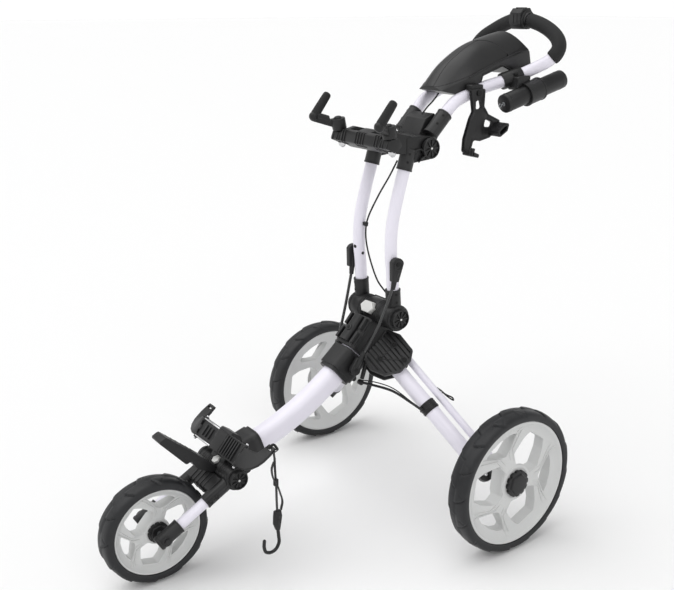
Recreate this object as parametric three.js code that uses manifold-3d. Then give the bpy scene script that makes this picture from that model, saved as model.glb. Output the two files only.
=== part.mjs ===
// A three-wheeled push trolley that folds flat, in millimetres, +Z up.
// The front wheel is at -Y, the handle at +Y, and the left and right sides mirror each other in X.
// Places are worked out with Y = 0 at the rear axle; the whole group is then moved so that the origin
// is under the middle of the object, on the ground.
import * as THREE from "three";
import { mergeVertices } from "three/addons/utils/BufferGeometryUtils.js";
import Module from "manifold-3d";

const wasm = await Module();
wasm.setup();

// ---------- driving dimensions ----------
const GAP = 0.3; // kept between touching pieces

const REAR_WHEEL_R = 142.8;
const REAR_RIM_R = 123.9;
const FRONT_WHEEL_R = 101.2;
const FRONT_RIM_R = 82.4;
const TYRE_WIDTH = 46;
const TRACK = 637.6; // between the middles of the rear tyres
const WHEELBASE = 582.3;
const AXLE_R = 5;
const RIM_ARMS = 3; // each rim arm forks in two, with an opening in the fork and one beside it

const UPPER_TUBE_R = 12;
const LEG_R = 15.3;
const LEG_ROD_R = 7.4;
const FORK_TUBE_R = 10.2;
const LINK_R = 3;
const TUBE_WALL = 1.6;

const SPINE_ARC_R = 590; // the lower tube is an arc of a circle
const SPINE_ARC_CENTRE = [-544.2, 770.9];
const SPINE_WIDTH = 40;
const SPINE_HEIGHT = 46;

const MAIN_AXIS = [-73.5, 413.7]; // [Y, Z] of the folding axes, which all run along X
const UPPER_AXIS = [4, 741];
const FORK_AXIS = [-440, 178];

const LEG_TOP = [42, -79, 323]; // right leg's pivot in the hub
const LEG_FOOT = [262, -12, 134]; // right leg's pivot in its wheel mount
const ROD_OFFSET = 34.8; // from the leg's pivots to the parallel rod's pivots
const ROD_OFFSET_ANGLE = 25; // degrees, turned from square on the leg towards its foot
const FOLDED_LEG_DIRECTION = [0.05, -0.8, -0.6];

const TUBE_TOP_SPREAD = 51.5;
const TUBE_FOOT_SPREAD = 52.5;
const GRIP_R = 14.75;
const UMBRELLA_TUBE_R = 18.4;
const CRADLE_HALF_WIDTH = 124;
const BRACKET_HALF_WIDTH = 105;
const BRACKET_PIVOT_X = 80;

const FRONT_EDGE_Y = -WHEELBASE - FRONT_WHEEL_R;
const REAR_EDGE_Y = 331.2; // the umbrella tube's rear lip
const ORIGIN_Y = (FRONT_EDGE_Y + REAR_EDGE_Y) / 2;

// ---------- materials ----------
function material(color, roughness, metalness) {
  return new THREE.MeshStandardMaterial({ color, roughness, metalness });
}
const WHITE_PAINT = material(0xe9e7ee, 0.35, 0.1);
const BLACK_PLASTIC = material(0x26272a, 0.55, 0);
const RIM_GREY = material(0xd9dadb, 0.5, 0);
const TYRE_RUBBER = material(0x1d1e20, 0.85, 0);
const FOAM = material(0x3c3d40, 0.9, 0);
const SILVER = material(0xc9c8c4, 0.3, 0.6);
const STEEL = material(0x8f9296, 0.35, 1);
const WEBBING = material(0x151516, 0.9, 0);

// ---------- solids ----------
const vec = (p) => new THREE.Vector3(...p);
const flipX = (p) => [-p[0], p[1], p[2]];
const radians = THREE.MathUtils.degToRad;

function solid(geometry) {
  geometry.deleteAttribute("normal");
  geometry.deleteAttribute("uv");
  const merged = mergeVertices(geometry, 1e-4);
  const triVerts = new Uint32Array(merged.index.array);
  const build = () => {
    const vertProperties = merged.attributes.position.array;
    return new wasm.Manifold(new wasm.Mesh({ numProp: 3, vertProperties, triVerts }));
  };
  const made = build();
  if (made.volume() > 0) return made;
  for (let i = 0; i < triVerts.length; i += 3) {
    [triVerts[i], triVerts[i + 1]] = [triVerts[i + 1], triVerts[i]];
  }
  return build();
}

function geometryOf(body) {
  const { numProp, vertProperties, triVerts } = body.getMesh();
  const geometry = new THREE.BufferGeometry();
  geometry.setAttribute("position", new THREE.BufferAttribute(vertProperties, numProp));
  geometry.setIndex(new THREE.BufferAttribute(triVerts, 1));
  geometry.computeVertexNormals();
  return geometry;
}

function mirrored(body) {
  return solid(geometryOf(body).scale(-1, 1, 1));
}

const join = (...bodies) => bodies.reduce((sum, body) => sum.add(body));
const cut = (body, ...tools) => tools.reduce((rest, tool) => rest.subtract(tool), body);

// A box of [x, y, z] size, turned about X by a tilt in degrees, with its middle at a point.
function block(size, middle, tilt = 0) {
  const geometry = new THREE.BoxGeometry(...size).rotateX(radians(tilt));
  return solid(geometry.translate(...middle));
}

// A straight round bar between two points, which can taper.
function bar(from, to, r, sides = 12, endR = r) {
  const along = vec(to).sub(vec(from));
  const geometry = new THREE.CylinderGeometry(endR, r, along.length(), sides);
  const turn = new THREE.Quaternion().setFromUnitVectors(vec([0, 1, 0]), along.clone().normalize());
  geometry.applyQuaternion(turn);
  return solid(geometry.translate(...vec(from).addScaledVector(along, 0.5).toArray()));
}

// A round bar along X at a [Y, Z] axis.
const barX = (axis, x0, x1, r, sides = 16) => bar([x0, ...axis], [x1, ...axis], r, sides);

function ball(centre, r) {
  return solid(new THREE.SphereGeometry(r, 8, 6).translate(...centre));
}

// An outline in the plane of u and v from an origin, pushed along u x v.
function prism(outline, depth, origin, u, v) {
  const shape = new THREE.Shape(outline.map(([x, y]) => new THREE.Vector2(x, y)));
  const geometry = new THREE.ExtrudeGeometry(shape, { depth, bevelEnabled: false });
  const w = vec(u).cross(vec(v));
  geometry.applyMatrix4(new THREE.Matrix4().makeBasis(vec(u), vec(v), w));
  return solid(geometry.translate(...origin));
}

// A [Y, Z] outline pushed along X.
const prismX = (outline, x0, x1) => prism(outline, x1 - x0, [x0, 0, 0], [0, 1, 0], [0, 0, 1]);

function roundOutline(r, sides) {
  return Array.from({ length: sides }, (_, i) => {
    const turn = ((i + 0.5) / sides) * 2 * Math.PI;
    return [r * Math.cos(turn), r * Math.sin(turn)];
  });
}

// A rounded outline of a wide bar: a rectangle with its corners cut off.
function chamferedOutline(width, height, corner) {
  const x = width / 2;
  const y = height / 2;
  return [
    [x, y - corner], [x - corner, y], [corner - x, y], [-x, y - corner],
    [-x, corner - y], [corner - x, -y], [x - corner, -y], [x, corner - y],
  ];
}

function sweep(outline, curve, steps) {
  const shape = new THREE.Shape(outline.map(([x, y]) => new THREE.Vector2(x, y)));
  return solid(new THREE.ExtrudeGeometry(shape, { steps, extrudePath: curve }));
}

const throughPoints = (points) => new THREE.CatmullRomCurve3(points.map(vec), false, "centripetal");

function tube(points, r, steps, sides = 10) {
  return sweep(roundOutline(r, sides), throughPoints(points), steps);
}

function hollowTube(points, r, steps, sides = 10) {
  return cut(tube(points, r, steps, sides), tube(points, r - TUBE_WALL, steps, sides));
}

// A solid between rings of points, each ring with the same number of points.
function loft(rings) {
  const n = rings[0].length;
  const last = (rings.length - 1) * n;
  const index = [];
  for (let i = 1; i < n - 1; i++) index.push(0, i + 1, i, last, last + i, last + i + 1);
  for (let start = 0; start < last; start += n) {
    for (let i = 0; i < n; i++) {
      const [a, b] = [start + i, start + ((i + 1) % n)];
      index.push(a, b, b + n, a, b + n, a + n);
    }
  }
  const geometry = new THREE.BufferGeometry();
  geometry.setAttribute("position", new THREE.Float32BufferAttribute(rings.flat(2), 3));
  geometry.setIndex(index);
  return solid(geometry);
}

// A solid of revolution about X from a closed [x, radius] profile.
function turned(profile, sides) {
  const points = [...profile, profile[0]].map(([x, r]) => new THREE.Vector2(r, x));
  return solid(new THREE.LatheGeometry(points, sides).rotateZ(-Math.PI / 2));
}

// ---------- the group and its two sides ----------
const trolley = new THREE.Group();
trolley.position.y = -ORIGIN_Y;

function place(name, body, finish, position = [0, 0, 0]) {
  const mesh = new THREE.Mesh(geometryOf(body), finish);
  mesh.name = name;
  mesh.position.set(...position);
  trolley.add(mesh);
}

function placePair(name, rightBody, finish) {
  place(`${name}_right`, rightBody, finish);
  place(`${name}_left`, mirrored(rightBody), finish);
}

// ---------- wheels ----------
const WHEEL_SIDES = 32;
const HUB_BOSS_R = 15;
const HUB_FACE_X = 15; // where the black cap starts, from the wheel's middle

function tyre(r, rimR) {
  const half = TYRE_WIDTH / 2;
  const seat = rimR + GAP;
  const side = [[half - 3, seat], [half, seat + 3.5], [half - 3, seat + 10], [half - 10, r - 3]];
  const crown = [[0, r]];
  const profile = [...side, ...crown, ...side.map(([x, y]) => [-x, y]).reverse()];
  return turned(profile, WHEEL_SIDES);
}

// Openings are [outward, sideways] from the wheel's middle, as shares of the rim's radius.
const FORK_OPENING = [[0.52, 0], [0.71, 0.39], [0.79, 0.2], [0.81, 0], [0.79, -0.2], [0.71, -0.39]];
const SIDE_OPENING = [
  [0.25, 0.07], [0.25, 0.2], [0.37, 0.32], [0.65, 0.26], [0.8, 0.18],
  [0.8, -0.18], [0.65, -0.26], [0.37, -0.32], [0.25, -0.2], [0.25, -0.07],
];

function rim(rimR, firstArm) {
  const edge = TYRE_WIDTH / 2 - 3;
  const bore = AXLE_R + GAP + 0.2;
  const profile = [
    [edge, rimR], [edge - 1, rimR * 0.95], [8, rimR * 0.83], [HUB_FACE_X, rimR * 0.3],
    [HUB_FACE_X, bore], [-edge, bore], [-edge, rimR * 0.3], [-14, rimR * 0.36],
    [-14, rimR * 0.84], [-edge, rimR * 0.94], [-edge, rimR],
  ];
  let body = turned(profile, WHEEL_SIDES);
  for (let i = 0; i < 2 * RIM_ARMS; i++) {
    const turn = radians(firstArm + (i * 180) / RIM_ARMS);
    const outward = [0, Math.cos(turn), Math.sin(turn)];
    const sideways = [0, -Math.sin(turn), Math.cos(turn)];
    const shares = i % 2 ? SIDE_OPENING : FORK_OPENING;
    const opening = shares.map(([u, v]) => [u * rimR, v * rimR]);
    body = cut(body, prism(opening, TYRE_WIDTH, [-TYRE_WIDTH / 2, 0, 0], outward, sideways));
  }
  return body;
}

// A cap with ten shallow flutes, on the wheel's outer face.
function hubCap(r, thickness) {
  const flutes = 10;
  const outline = Array.from({ length: 2 * flutes }, (_, i) => {
    const turn = (i / (2 * flutes)) * 2 * Math.PI;
    const here = i % 2 ? r * 0.9 : r;
    return [here * Math.cos(turn), here * Math.sin(turn)];
  });
  return prismX(outline, HUB_FACE_X + GAP, HUB_FACE_X + GAP + thickness);
}

const REAR_ARM_ANGLE = 113; // where the first arm points, in degrees from the rear, upwards
const FRONT_ARM_ANGLE = 76;
for (const [side, sign] of [["right", 1], ["left", -1]]) {
  const centre = [(sign * TRACK) / 2, 0, REAR_WHEEL_R];
  const outward = (body) => (sign > 0 ? body : mirrored(body));
  place(`rear_tyre_${side}`, outward(tyre(REAR_WHEEL_R, REAR_RIM_R)), TYRE_RUBBER, centre);
  place(`rear_rim_${side}`, outward(rim(REAR_RIM_R, REAR_ARM_ANGLE)), RIM_GREY, centre);
  place(`rear_hub_cap_${side}`, outward(hubCap(26.5, 10)), BLACK_PLASTIC, centre);
}

const frontCentre = [0, -WHEELBASE, FRONT_WHEEL_R];
place("front_tyre", tyre(FRONT_WHEEL_R, FRONT_RIM_R), TYRE_RUBBER, frontCentre);
place("front_rim", rim(FRONT_RIM_R, FRONT_ARM_ANGLE), RIM_GREY, frontCentre);
const frontCap = cut(hubCap(19.5, 8), bar([0, 0, 0], [40, 0, 0], AXLE_R + GAP + 0.2, 12));
place("front_hub_cap", frontCap, BLACK_PLASTIC, frontCentre);

// ---------- lower tube: an arc, with the castings that grip it ----------
// An angle on the arc is measured at its centre, from straight down towards the rear.
function onArc(angle, r = SPINE_ARC_R, x = 0) {
  const turn = radians(angle);
  return [x, SPINE_ARC_CENTRE[0] + r * Math.sin(turn), SPINE_ARC_CENTRE[1] - r * Math.cos(turn)];
}

function arcSweep(outline, fromAngle, toAngle, steps, r = SPINE_ARC_R) {
  const spots = Array.from({ length: 7 }, (_, i) => onArc(fromAngle + ((toAngle - fromAngle) * i) / 6, r));
  const curve = throughPoints(spots);
  const shape = new THREE.Shape(outline.map(([x, y]) => new THREE.Vector2(x, y)));
  return solid(new THREE.ExtrudeGeometry(shape, { steps, extrudePath: curve }));
}

const SPINE_END = 13.6; // lower end of the tube, degrees on the arc
const SPINE_TOP = 49.6;
const FRONT_COLLAR_TOP = 17.6;
const SLIDER_LOW = 38.1;
const SLIDER_HIGH = 42.9;
const SLEEVE_LOW = 43.3;

// ExtrudeGeometry lays an outline's first direction along the curve's normal, here up and down.
const spineSection = (grow) =>
  chamferedOutline(SPINE_HEIGHT + 2 * grow, SPINE_WIDTH + 2 * grow, SPINE_WIDTH * 0.3);
const casingSection = (height, width) => chamferedOutline(height, width, 8);

const spineOuter = arcSweep(spineSection(0), SPINE_END, SPINE_TOP, 14);
const spineInner = arcSweep(spineSection(-2), SPINE_END, SPINE_TOP, 14);
place("lower_tube", cut(spineOuter, spineInner), WHITE_PAINT);
const spineClearance = arcSweep(spineSection(GAP), SPINE_END - 0.06, SPINE_TOP + 0.06, 14);
const slideClearance = arcSweep(spineSection(0.8), 20, 46, 14);

// ---------- leg geometry ----------
const legLine = vec(LEG_FOOT).sub(vec(LEG_TOP));
const legLength = legLine.length();
const legAlong = legLine.clone().normalize();
const legAxis = legAlong.clone().cross(vec(FOLDED_LEG_DIRECTION)).normalize(); // points in and down
const legSquare = legAlong.clone().cross(legAxis);
const rodShift = legSquare
  .clone()
  .multiplyScalar(ROD_OFFSET * Math.cos(radians(ROD_OFFSET_ANGLE)))
  .addScaledVector(legAlong, ROD_OFFSET * Math.sin(radians(ROD_OFFSET_ANGLE)));

// A point near a leg pivot: along the leg, square to it towards the rod, and out along the pivot.
function legPoint(start, along, square, out) {
  return vec(start)
    .addScaledVector(legAlong, along)
    .addScaledVector(legSquare, square)
    .addScaledVector(legAxis, -out)
    .toArray();
}
const plus = (p, shift) => vec(p).add(shift).toArray();
const ROD_TOP = plus(LEG_TOP, rodShift);
const ROD_FOOT = plus(LEG_FOOT, rodShift);

const SLOT_HALF = 16; // half the room between the hub's plate and its cover
const PIVOT_PIN_R = 6;
const disc = (centre, r, out0, out1, sides = 16) =>
  bar(legPoint(centre, 0, 0, out0), legPoint(centre, 0, 0, out1), r, sides);

function plateAt(outline, out0, out1) {
  return prism(outline, out1 - out0, legPoint(LEG_TOP, 0, 0, out0), legAlong.toArray(), legSquare.toArray());
}

// A flat bar in the leg's plane, from one distance along the leg to another, past a pivot.
function plateBetween(pivot, from, to, half, out0, out1) {
  const outline = [[from, -half], [to, -half], [to, half], [from, half]];
  return prism(outline, out1 - out0, legPoint(pivot, 0, 0, out0), legAlong.toArray(), legSquare.toArray());
}

// A flat bar in the leg's plane between two pivots.
function linkPlate(from, to, half, out0, out1) {
  const reach = vec(to).sub(vec(from));
  const along = reach.clone().normalize();
  const across = legAxis.clone().negate().cross(along).toArray();
  const outline = [[0, -half], [reach.length(), -half], [reach.length(), half], [0, half]];
  return prism(outline, out1 - out0, legPoint(from, 0, 0, out0), along.toArray(), across);
}

// ---------- hub: the casting that everything folds on ----------
const KNUCKLE_R = 26;
const HUB_KNUCKLE_X = 30;
const MAIN_HALF = 68.4;
const PIN_R = 7;
const lobe = [
  [-46, 30], [-20, 45], [22, 44], [36, 27], [41, -3], [28, -33], [0, -48], [-22, -46], [-46, -20],
];
const innerLobe = lobe.map(([along, square]) => [along * 0.94, square * 0.94]);
const pinHole = (axis, half) => barX(axis, -half, half, PIN_R + GAP);

const BUTTON_ANGLE = 153; // where the main button looks, in degrees from the rear, upwards
function radial(axis, angle, r, x = 0) {
  return [x, axis[0] + r * Math.cos(radians(angle)), axis[1] + r * Math.sin(radians(angle))];
}
function buttonBody(axis, angle, r0, r1, size) {
  return bar(radial(axis, angle, r0), radial(axis, angle, r1), size, 6, size * 0.94);
}

const sleeve = arcSweep(casingSection(62, 60), SLEEVE_LOW, 50.2, 4);
const hubBlock = prismX([[-122, 372], [-108, 300], [-48, 288], [-40, 345], [-48, 392], [-80, 404]], -12, 12);
const hubPins = join(
  disc(LEG_TOP, PIVOT_PIN_R, -20, SLOT_HALF, 12),
  disc(ROD_TOP, PIVOT_PIN_R - 1.5, -20, SLOT_HALF, 12),
);
const hubPlate = plateAt(innerLobe, -22, -SLOT_HALF - GAP);
const hubSide = join(hubPlate, hubPins);
const hubRaw = join(sleeve, hubBlock, hubSide, mirrored(hubSide), barX(MAIN_AXIS, -30, 30, KNUCKLE_R));
const yokeRoom = join(
  barX(MAIN_AXIS, HUB_KNUCKLE_X, 90, KNUCKLE_R + 3),
  barX(MAIN_AXIS, -90, -HUB_KNUCKLE_X, KNUCKLE_R + 3),
);
const hubBody = cut(
  hubRaw,
  spineClearance,
  yokeRoom,
  pinHole(MAIN_AXIS, 40),
  buttonBody(MAIN_AXIS, BUTTON_ANGLE, 14, 60, 13.6),
);
place("hub_casting", hubBody, BLACK_PLASTIC);
place("main_button", buttonBody(MAIN_AXIS, BUTTON_ANGLE, 18.5, 33.5, 12.6), SILVER);

const coverOuter = plateAt(lobe, SLOT_HALF + GAP, SLOT_HALF + 9);
const coverRoom = arcSweep(casingSection(64, 62), SLEEVE_LOW - 3, 54, 5);
placePair("hub_cover", cut(coverOuter, coverRoom, yokeRoom), BLACK_PLASTIC);

// ---------- main fold: yoke, pin and the two middle tubes ----------
const tubePath = [
  [TUBE_FOOT_SPREAD, -75, 452], [TUBE_FOOT_SPREAD, -77.5, 507], [TUBE_FOOT_SPREAD, -80.5, 545],
  [TUBE_FOOT_SPREAD, -77.5, 598], [52, -63, 656], [TUBE_TOP_SPREAD, -44, 715], [TUBE_TOP_SPREAD, -38, 734],
];
const middleTube = hollowTube(tubePath, UPPER_TUBE_R, 10);
placePair("middle_tube", middleTube, WHITE_PAINT);
const middleTubeRoom = tube(tubePath, UPPER_TUBE_R + 0.5, 10);

function socketAround(points, r) {
  return bar(points[0], points[1], r, 14);
}
const lowSocket = socketAround([[TUBE_FOOT_SPREAD, -73.5, 430], [TUBE_FOOT_SPREAD, -76.2, 472]], 15.6);
const yokeEar = join(barX(MAIN_AXIS, HUB_KNUCKLE_X + 0.4, MAIN_HALF, KNUCKLE_R), lowSocket);
const yokeBridge = block([2 * TUBE_FOOT_SPREAD, 30, 16], [0, -64, 460]);
const yoke = cut(
  join(yokeEar, mirrored(yokeEar), yokeBridge),
  middleTubeRoom,
  mirrored(middleTubeRoom),
  pinHole(MAIN_AXIS, 80),
);
place("lower_yoke", yoke, BLACK_PLASTIC);

function pinWithCaps(axis, half, capR) {
  const shaft = barX(axis, -half - 2, half + 2, PIN_R);
  const cap = barX(axis, half + GAP, half + 9, capR, 20);
  return join(shaft, cap, mirrored(cap));
}
place("main_pivot_pin", pinWithCaps(MAIN_AXIS, MAIN_HALF, 20), BLACK_PLASTIC);

// ---------- slider and its two bowed links ----------
const slider = join(
  cut(arcSweep(casingSection(62, 58), SLIDER_LOW, SLIDER_HIGH, 3), slideClearance),
  cut(bar(onArc(40.4, 595, 24), onArc(40.4, 595, 31.5), 9), slideClearance),
  cut(bar(onArc(40.4, 595, -24), onArc(40.4, 595, -31.5), 9), slideClearance),
);
place("slider", slider, BLACK_PLASTIC);

const LINK_TOP = [72, -82, 525];
const LINK_FOOT = [37.5, -158.5, 318];
const linkPath = [
  LINK_TOP, [69.5, -87, 490], [66, -97, 456], [60, -112, 414], [51, -131, 372], [42, -150, 336], LINK_FOOT,
];
const linkEndTop = bar([66.5, -82, 525], [77, -82, 525], 9.5, 14);
const linkEndFoot = bar([33, -158.5, 318], [41.5, -158.5, 318], 9, 14);
const topFerrule = bar(LINK_TOP, [70.3, -86.5, 496], 5, 8, 4.2);
const footFerrule = bar(LINK_FOOT, [42.5, -149, 338], 4.4, 8, 4.2);
const linkEnds = join(linkEndTop, topFerrule, linkEndFoot, footFerrule);
placePair("link", join(tube(linkPath, LINK_R, 12, 8), linkEnds), BLACK_PLASTIC);

// ---------- upper joint, bag bracket ----------
const upperSocket = socketAround([[TUBE_TOP_SPREAD, -48.5, 702], [TUBE_TOP_SPREAD, -36, 742]], 15.6);
const upperArm = join(
  prismX([[-50, 722], [-34, 716], [8, 719], [8, 763], [-50, 766]], 46, 63),
  barX(UPPER_AXIS, 46, 63, 22),
);
const bracketBeam = prismX(
  [[-118, 752], [-92, 738], [-30, 732], [-30, 764], [-86, 778], [-112, 772]], -62, 62,
);
const pivotPad = prismX([[-118, 752], [-98, 744], [-84, 756], [-92, 770], [-112, 768]], 60, 92);
const upperYokeRaw = join(
  upperSocket, mirrored(upperSocket), upperArm, mirrored(upperArm), bracketBeam, pivotPad, mirrored(pivotPad),
);
const handleRoom = barX(UPPER_AXIS, -45.6, 45.6, 23);

const BRACKET_PIVOT = [BRACKET_PIVOT_X, -101, 757];
const BRACKET_UP = [0, -0.2, 0.98]; // the pivot bolt leans a little forward
const bracketBolt = (h) => [0, 1, 2].map((i) => BRACKET_PIVOT[i] + BRACKET_UP[i] * h);
const boltRoom = bar(bracketBolt(-30), bracketBolt(60), 4.4, 12);
const armTip = [BRACKET_HALF_WIDTH, -147, 796];
const armFoot = bracketBolt(26);
const bracketBoltBody = join(
  bar(bracketBolt(-12), bracketBolt(38), 4, 12),
  bar(bracketBolt(-22), bracketBolt(-10), 7, 6),
  bar(bracketBolt(36.8), bracketBolt(40), 8, 12),
);
const upperYoke = cut(
  join(upperYokeRaw, bracketBoltBody, mirrored(bracketBoltBody)),
  middleTubeRoom,
  mirrored(middleTubeRoom),
  handleRoom,
  pinHole(UPPER_AXIS, 80),
);
place("upper_yoke", upperYoke, BLACK_PLASTIC);
place("upper_pivot_pin", pinWithCaps(UPPER_AXIS, 63, 20), BLACK_PLASTIC);

const bracketArm = join(
  bar(bracketBolt(14), bracketBolt(36), 14, 20),
  bar(armFoot, armTip, 10, 12, 9),
  bar(armTip, [BRACKET_HALF_WIDTH, -113, 838], 9, 12, 7),
  ball(armTip, 9),
);
const boltHeadRoom = bar(bracketBolt(36.4), bracketBolt(60), 16);
placePair("bag_bracket_arm", cut(bracketArm, boltRoom, boltHeadRoom), BLACK_PLASTIC);

// ---------- handle: casting, bent tube, grips, clamp ----------
const handlePath = [
  [TUBE_TOP_SPREAD - 7.5, 40, 781], [44, 59, 800], [45.5, 81, 820], [47.5, 112, 833], [52, 152, 846],
  [63, 212, 860], [75, 247, 873], [92, 263, 884], [108, 274, 895], [117, 283, 907], [118, 291, 920],
  [108, 298, 934], [82, 305, 950], [44, 306, 965], [0, 302, 973],
];
const handleLoop = [...handlePath, ...handlePath.slice(0, -1).reverse().map(flipX)];
const HANDLE_STEPS = 56;
place("handle_tube", tube(handleLoop, UPPER_TUBE_R, HANDLE_STEPS), WHITE_PAINT);
const handleTubeRoom = tube(handleLoop, UPPER_TUBE_R + 0.55, HANDLE_STEPS);

const handleCurve = throughPoints(handleLoop);
const GRIP_START = 0.318; // shares of the loop's length, from the right end
const GRIP_END = 0.4776;
function gripAround(r, start, end) {
  const spots = Array.from({ length: 9 }, (_, i) => handleCurve.getPointAt(start + ((end - start) * i) / 8));
  const curve = new THREE.CatmullRomCurve3(spots, false, "centripetal");
  return sweep(roundOutline(r, 10), curve, 10);
}
placePair("grip", cut(gripAround(GRIP_R, GRIP_START, GRIP_END), handleTubeRoom), FOAM);

const CLAMP_HALF = 15.5;
const clampOutline = [
  [283, 962], [290, 953], [311, 953], [317, 961], [317, 986], [310, 995], [291, 994], [283, 985],
];
place("grip_clamp", cut(prismX(clampOutline, -CLAMP_HALF, CLAMP_HALF), handleTubeRoom), BLACK_PLASTIC);

const handleSocket = bar([44, 21, 762], [44, 59, 800], 15.6, 14);
const handleNeck = prismX([[2, 757], [24, 732], [60, 778], [44, 802], [22, 792]], -30, 30);
const handleRaw = join(
  barX(UPPER_AXIS, -45.3, 45.3, 22), handleSocket, mirrored(handleSocket), handleNeck,
);
const armRoom = join(barX(UPPER_AXIS, 45.6, 90, 24), block([30, 62, 60], [61, -24, 742]));
place(
  "handle_casting",
  cut(handleRaw, handleTubeRoom, armRoom, mirrored(armRoom), pinHole(UPPER_AXIS, 60)),
  BLACK_PLASTIC,
);

// ---------- console: a tray on the two handle tubes and a hinged lid ----------
const CONSOLE_HALF = 54;
// The underside and the rear end, [Y, Z].
const consoleSide = [
  [50, 844], [58, 842], [104, 831], [143, 854], [148, 868], [199, 884], [238, 868], [284, 873],
  [276, 910], [246, 950.5], [240, 980], [50, 980],
];
// The hump at places along Y: half its width, the height of its edge and the height of its ridge.
const HUMP = [
  [56, 33, 842, 851], [70, 39, 848, 869], [90, 46, 857, 890], [113, 52, 866, 906], [150, 54, 880, 926],
  [200, 54, 897, 940], [250, 53, 910, 950.5], [290, 52, 920, 955],
];
const RIDGE_HALF = 8;
const HUMP_FOOT = 820;

// The hump's solid, with its walls and roof moved in by an inset.
function consoleHump(inset) {
  const rings = HUMP.map(([y, half, edge, ridge]) => {
    const w = half - inset;
    const shoulder = edge + 0.62 * (ridge - edge) - inset;
    const right = [
      [w, HUMP_FOOT], [w, edge - inset], [w * 0.74, shoulder], [RIDGE_HALF, ridge - inset],
    ];
    const left = right.map(([x, z]) => [-x, z]).reverse();
    return [...right, ...left].map(([x, z]) => [x, y, z]);
  });
  return loft(rings);
}
const consoleOuter = prismX(consoleSide, -60, 60).intersect(consoleHump(0));
const LID_LINE = [[40, 843.6], [300, 932]]; // [Y, Z] ends of the joint under the lid
const aboveLidLine = (gap) => prismX(
  [[LID_LINE[0][0], LID_LINE[0][1] + gap], [LID_LINE[1][0], LID_LINE[1][1] + gap], [300, 990], [40, 990]],
  -80, 80,
);
const well = prismX([[84, 855], [226, 903], [226, 990], [80, 990]], -34, 34);
place("console_tray", cut(consoleOuter, aboveLidLine(0), well, handleTubeRoom), BLACK_PLASTIC);

const lidInside = prismX([[66, 840], [244, 890], [244, 990], [66, 990]], -60, 60);
const lidHollow = lidInside.intersect(consoleHump(4));
place("console_lid", cut(consoleOuter.intersect(aboveLidLine(0.4)), lidHollow), BLACK_PLASTIC);

// The parking brake's lever, on the tray's left side.
const LEVER_AXIS = [214, 889];
const lever = join(
  barX(LEVER_AXIS, -63, -CONSOLE_HALF - GAP, 9),
  bar([-60, ...LEVER_AXIS], [-62, 262, 916], 4.5, 10, 5.5),
  ball([-62, 262, 916], 7),
);
place("brake_lever", cut(lever, handleTubeRoom), BLACK_PLASTIC);

// ---------- umbrella holder and cup bracket, on the handle's right tube ----------
const UMBRELLA_LINE = [[95, 167, 816], [95, 326.7, 856.6]];
const umbrellaAt = (share) =>
  vec(UMBRELLA_LINE[0]).lerp(vec(UMBRELLA_LINE[1]), share).toArray();
const umbrellaTube = cut(
  bar(umbrellaAt(0), umbrellaAt(1), UMBRELLA_TUBE_R, 16),
  bar(umbrellaAt(0.05), umbrellaAt(1.05), UMBRELLA_TUBE_R - 2.5, 16),
);
place("umbrella_tube", umbrellaTube, BLACK_PLASTIC);
const umbrellaClamp = cut(
  join(
    bar(umbrellaAt(0.34), umbrellaAt(0.62), UMBRELLA_TUBE_R + 4.5, 16),
    bar([57, 196, 855], [69, 234, 867], 17, 12),
    block([26, 30, 22], [80, 222, 852], 15),
  ),
  bar(umbrellaAt(-0.1), umbrellaAt(1.1), UMBRELLA_TUBE_R + GAP, 16),
  handleTubeRoom,
  prismX(consoleSide, -60, CONSOLE_HALF + 0.5),
);
place("umbrella_clamp", umbrellaClamp, BLACK_PLASTIC);

const cupPlate = cut(
  prismX([
    [99, 846], [136, 846], [134, 812], [146, 796], [178, 782], [172, 764], [150, 750], [124, 745],
    [107, 748], [98, 721], [82, 727], [84, 752], [98, 790], [106, 803],
  ], 67, 75),
  prismX([[112, 806], [128, 808], [124, 824], [112, 824]], 60, 80),
  prismX([[138, 788], [158, 779], [154, 770], [134, 772]], 60, 80),
);
const cupFoot = block([30, 18, 7], [85, 91, 726], 15);
const cupArm = prismX([[150, 752], [172, 764], [178, 782], [162, 776], [146, 764]], 70, 104);
const cupRoot = block([16, 30, 12], [62.5, 118, 848]);
const cupBracket = cut(
  join(cupPlate, cupFoot, cupArm, cupRoot),
  handleTubeRoom,
  prismX(consoleSide, -60, CONSOLE_HALF + 0.4),
  bar(umbrellaAt(-0.1), umbrellaAt(1), UMBRELLA_TUBE_R + 1, 12),
);
place("cup_bracket", cupBracket, BLACK_PLASTIC);

// ---------- front casting, bag cradle, bag rest ----------
const FORK_KNUCKLE_R = 22;
const FRONT_KNUCKLE_X = 26;
const frontCollar = arcSweep(casingSection(62, 56), SPINE_END - 3.2, FRONT_COLLAR_TOP, 4);
const frontNose = prismX([[-455, 190], [-420, 158], [-392, 164], [-392, 226], [-432, 224]], -24, 24);
const FORK_BUTTON_ANGLE = 118;
const frontCasting = cut(
  join(frontCollar, frontNose, barX(FORK_AXIS, -FRONT_KNUCKLE_X, FRONT_KNUCKLE_X, FORK_KNUCKLE_R)),
  spineClearance,
  barX(FORK_AXIS, FRONT_KNUCKLE_X, 90, FORK_KNUCKLE_R + 3),
  barX(FORK_AXIS, -90, -FRONT_KNUCKLE_X, FORK_KNUCKLE_R + 3),
  pinHole(FORK_AXIS, 60),
  buttonBody(FORK_AXIS, FORK_BUTTON_ANGLE, 10, 60, 11),
);
const frontButton = buttonBody(FORK_AXIS, FORK_BUTTON_ANGLE, 15, 25.5, 10);

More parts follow.
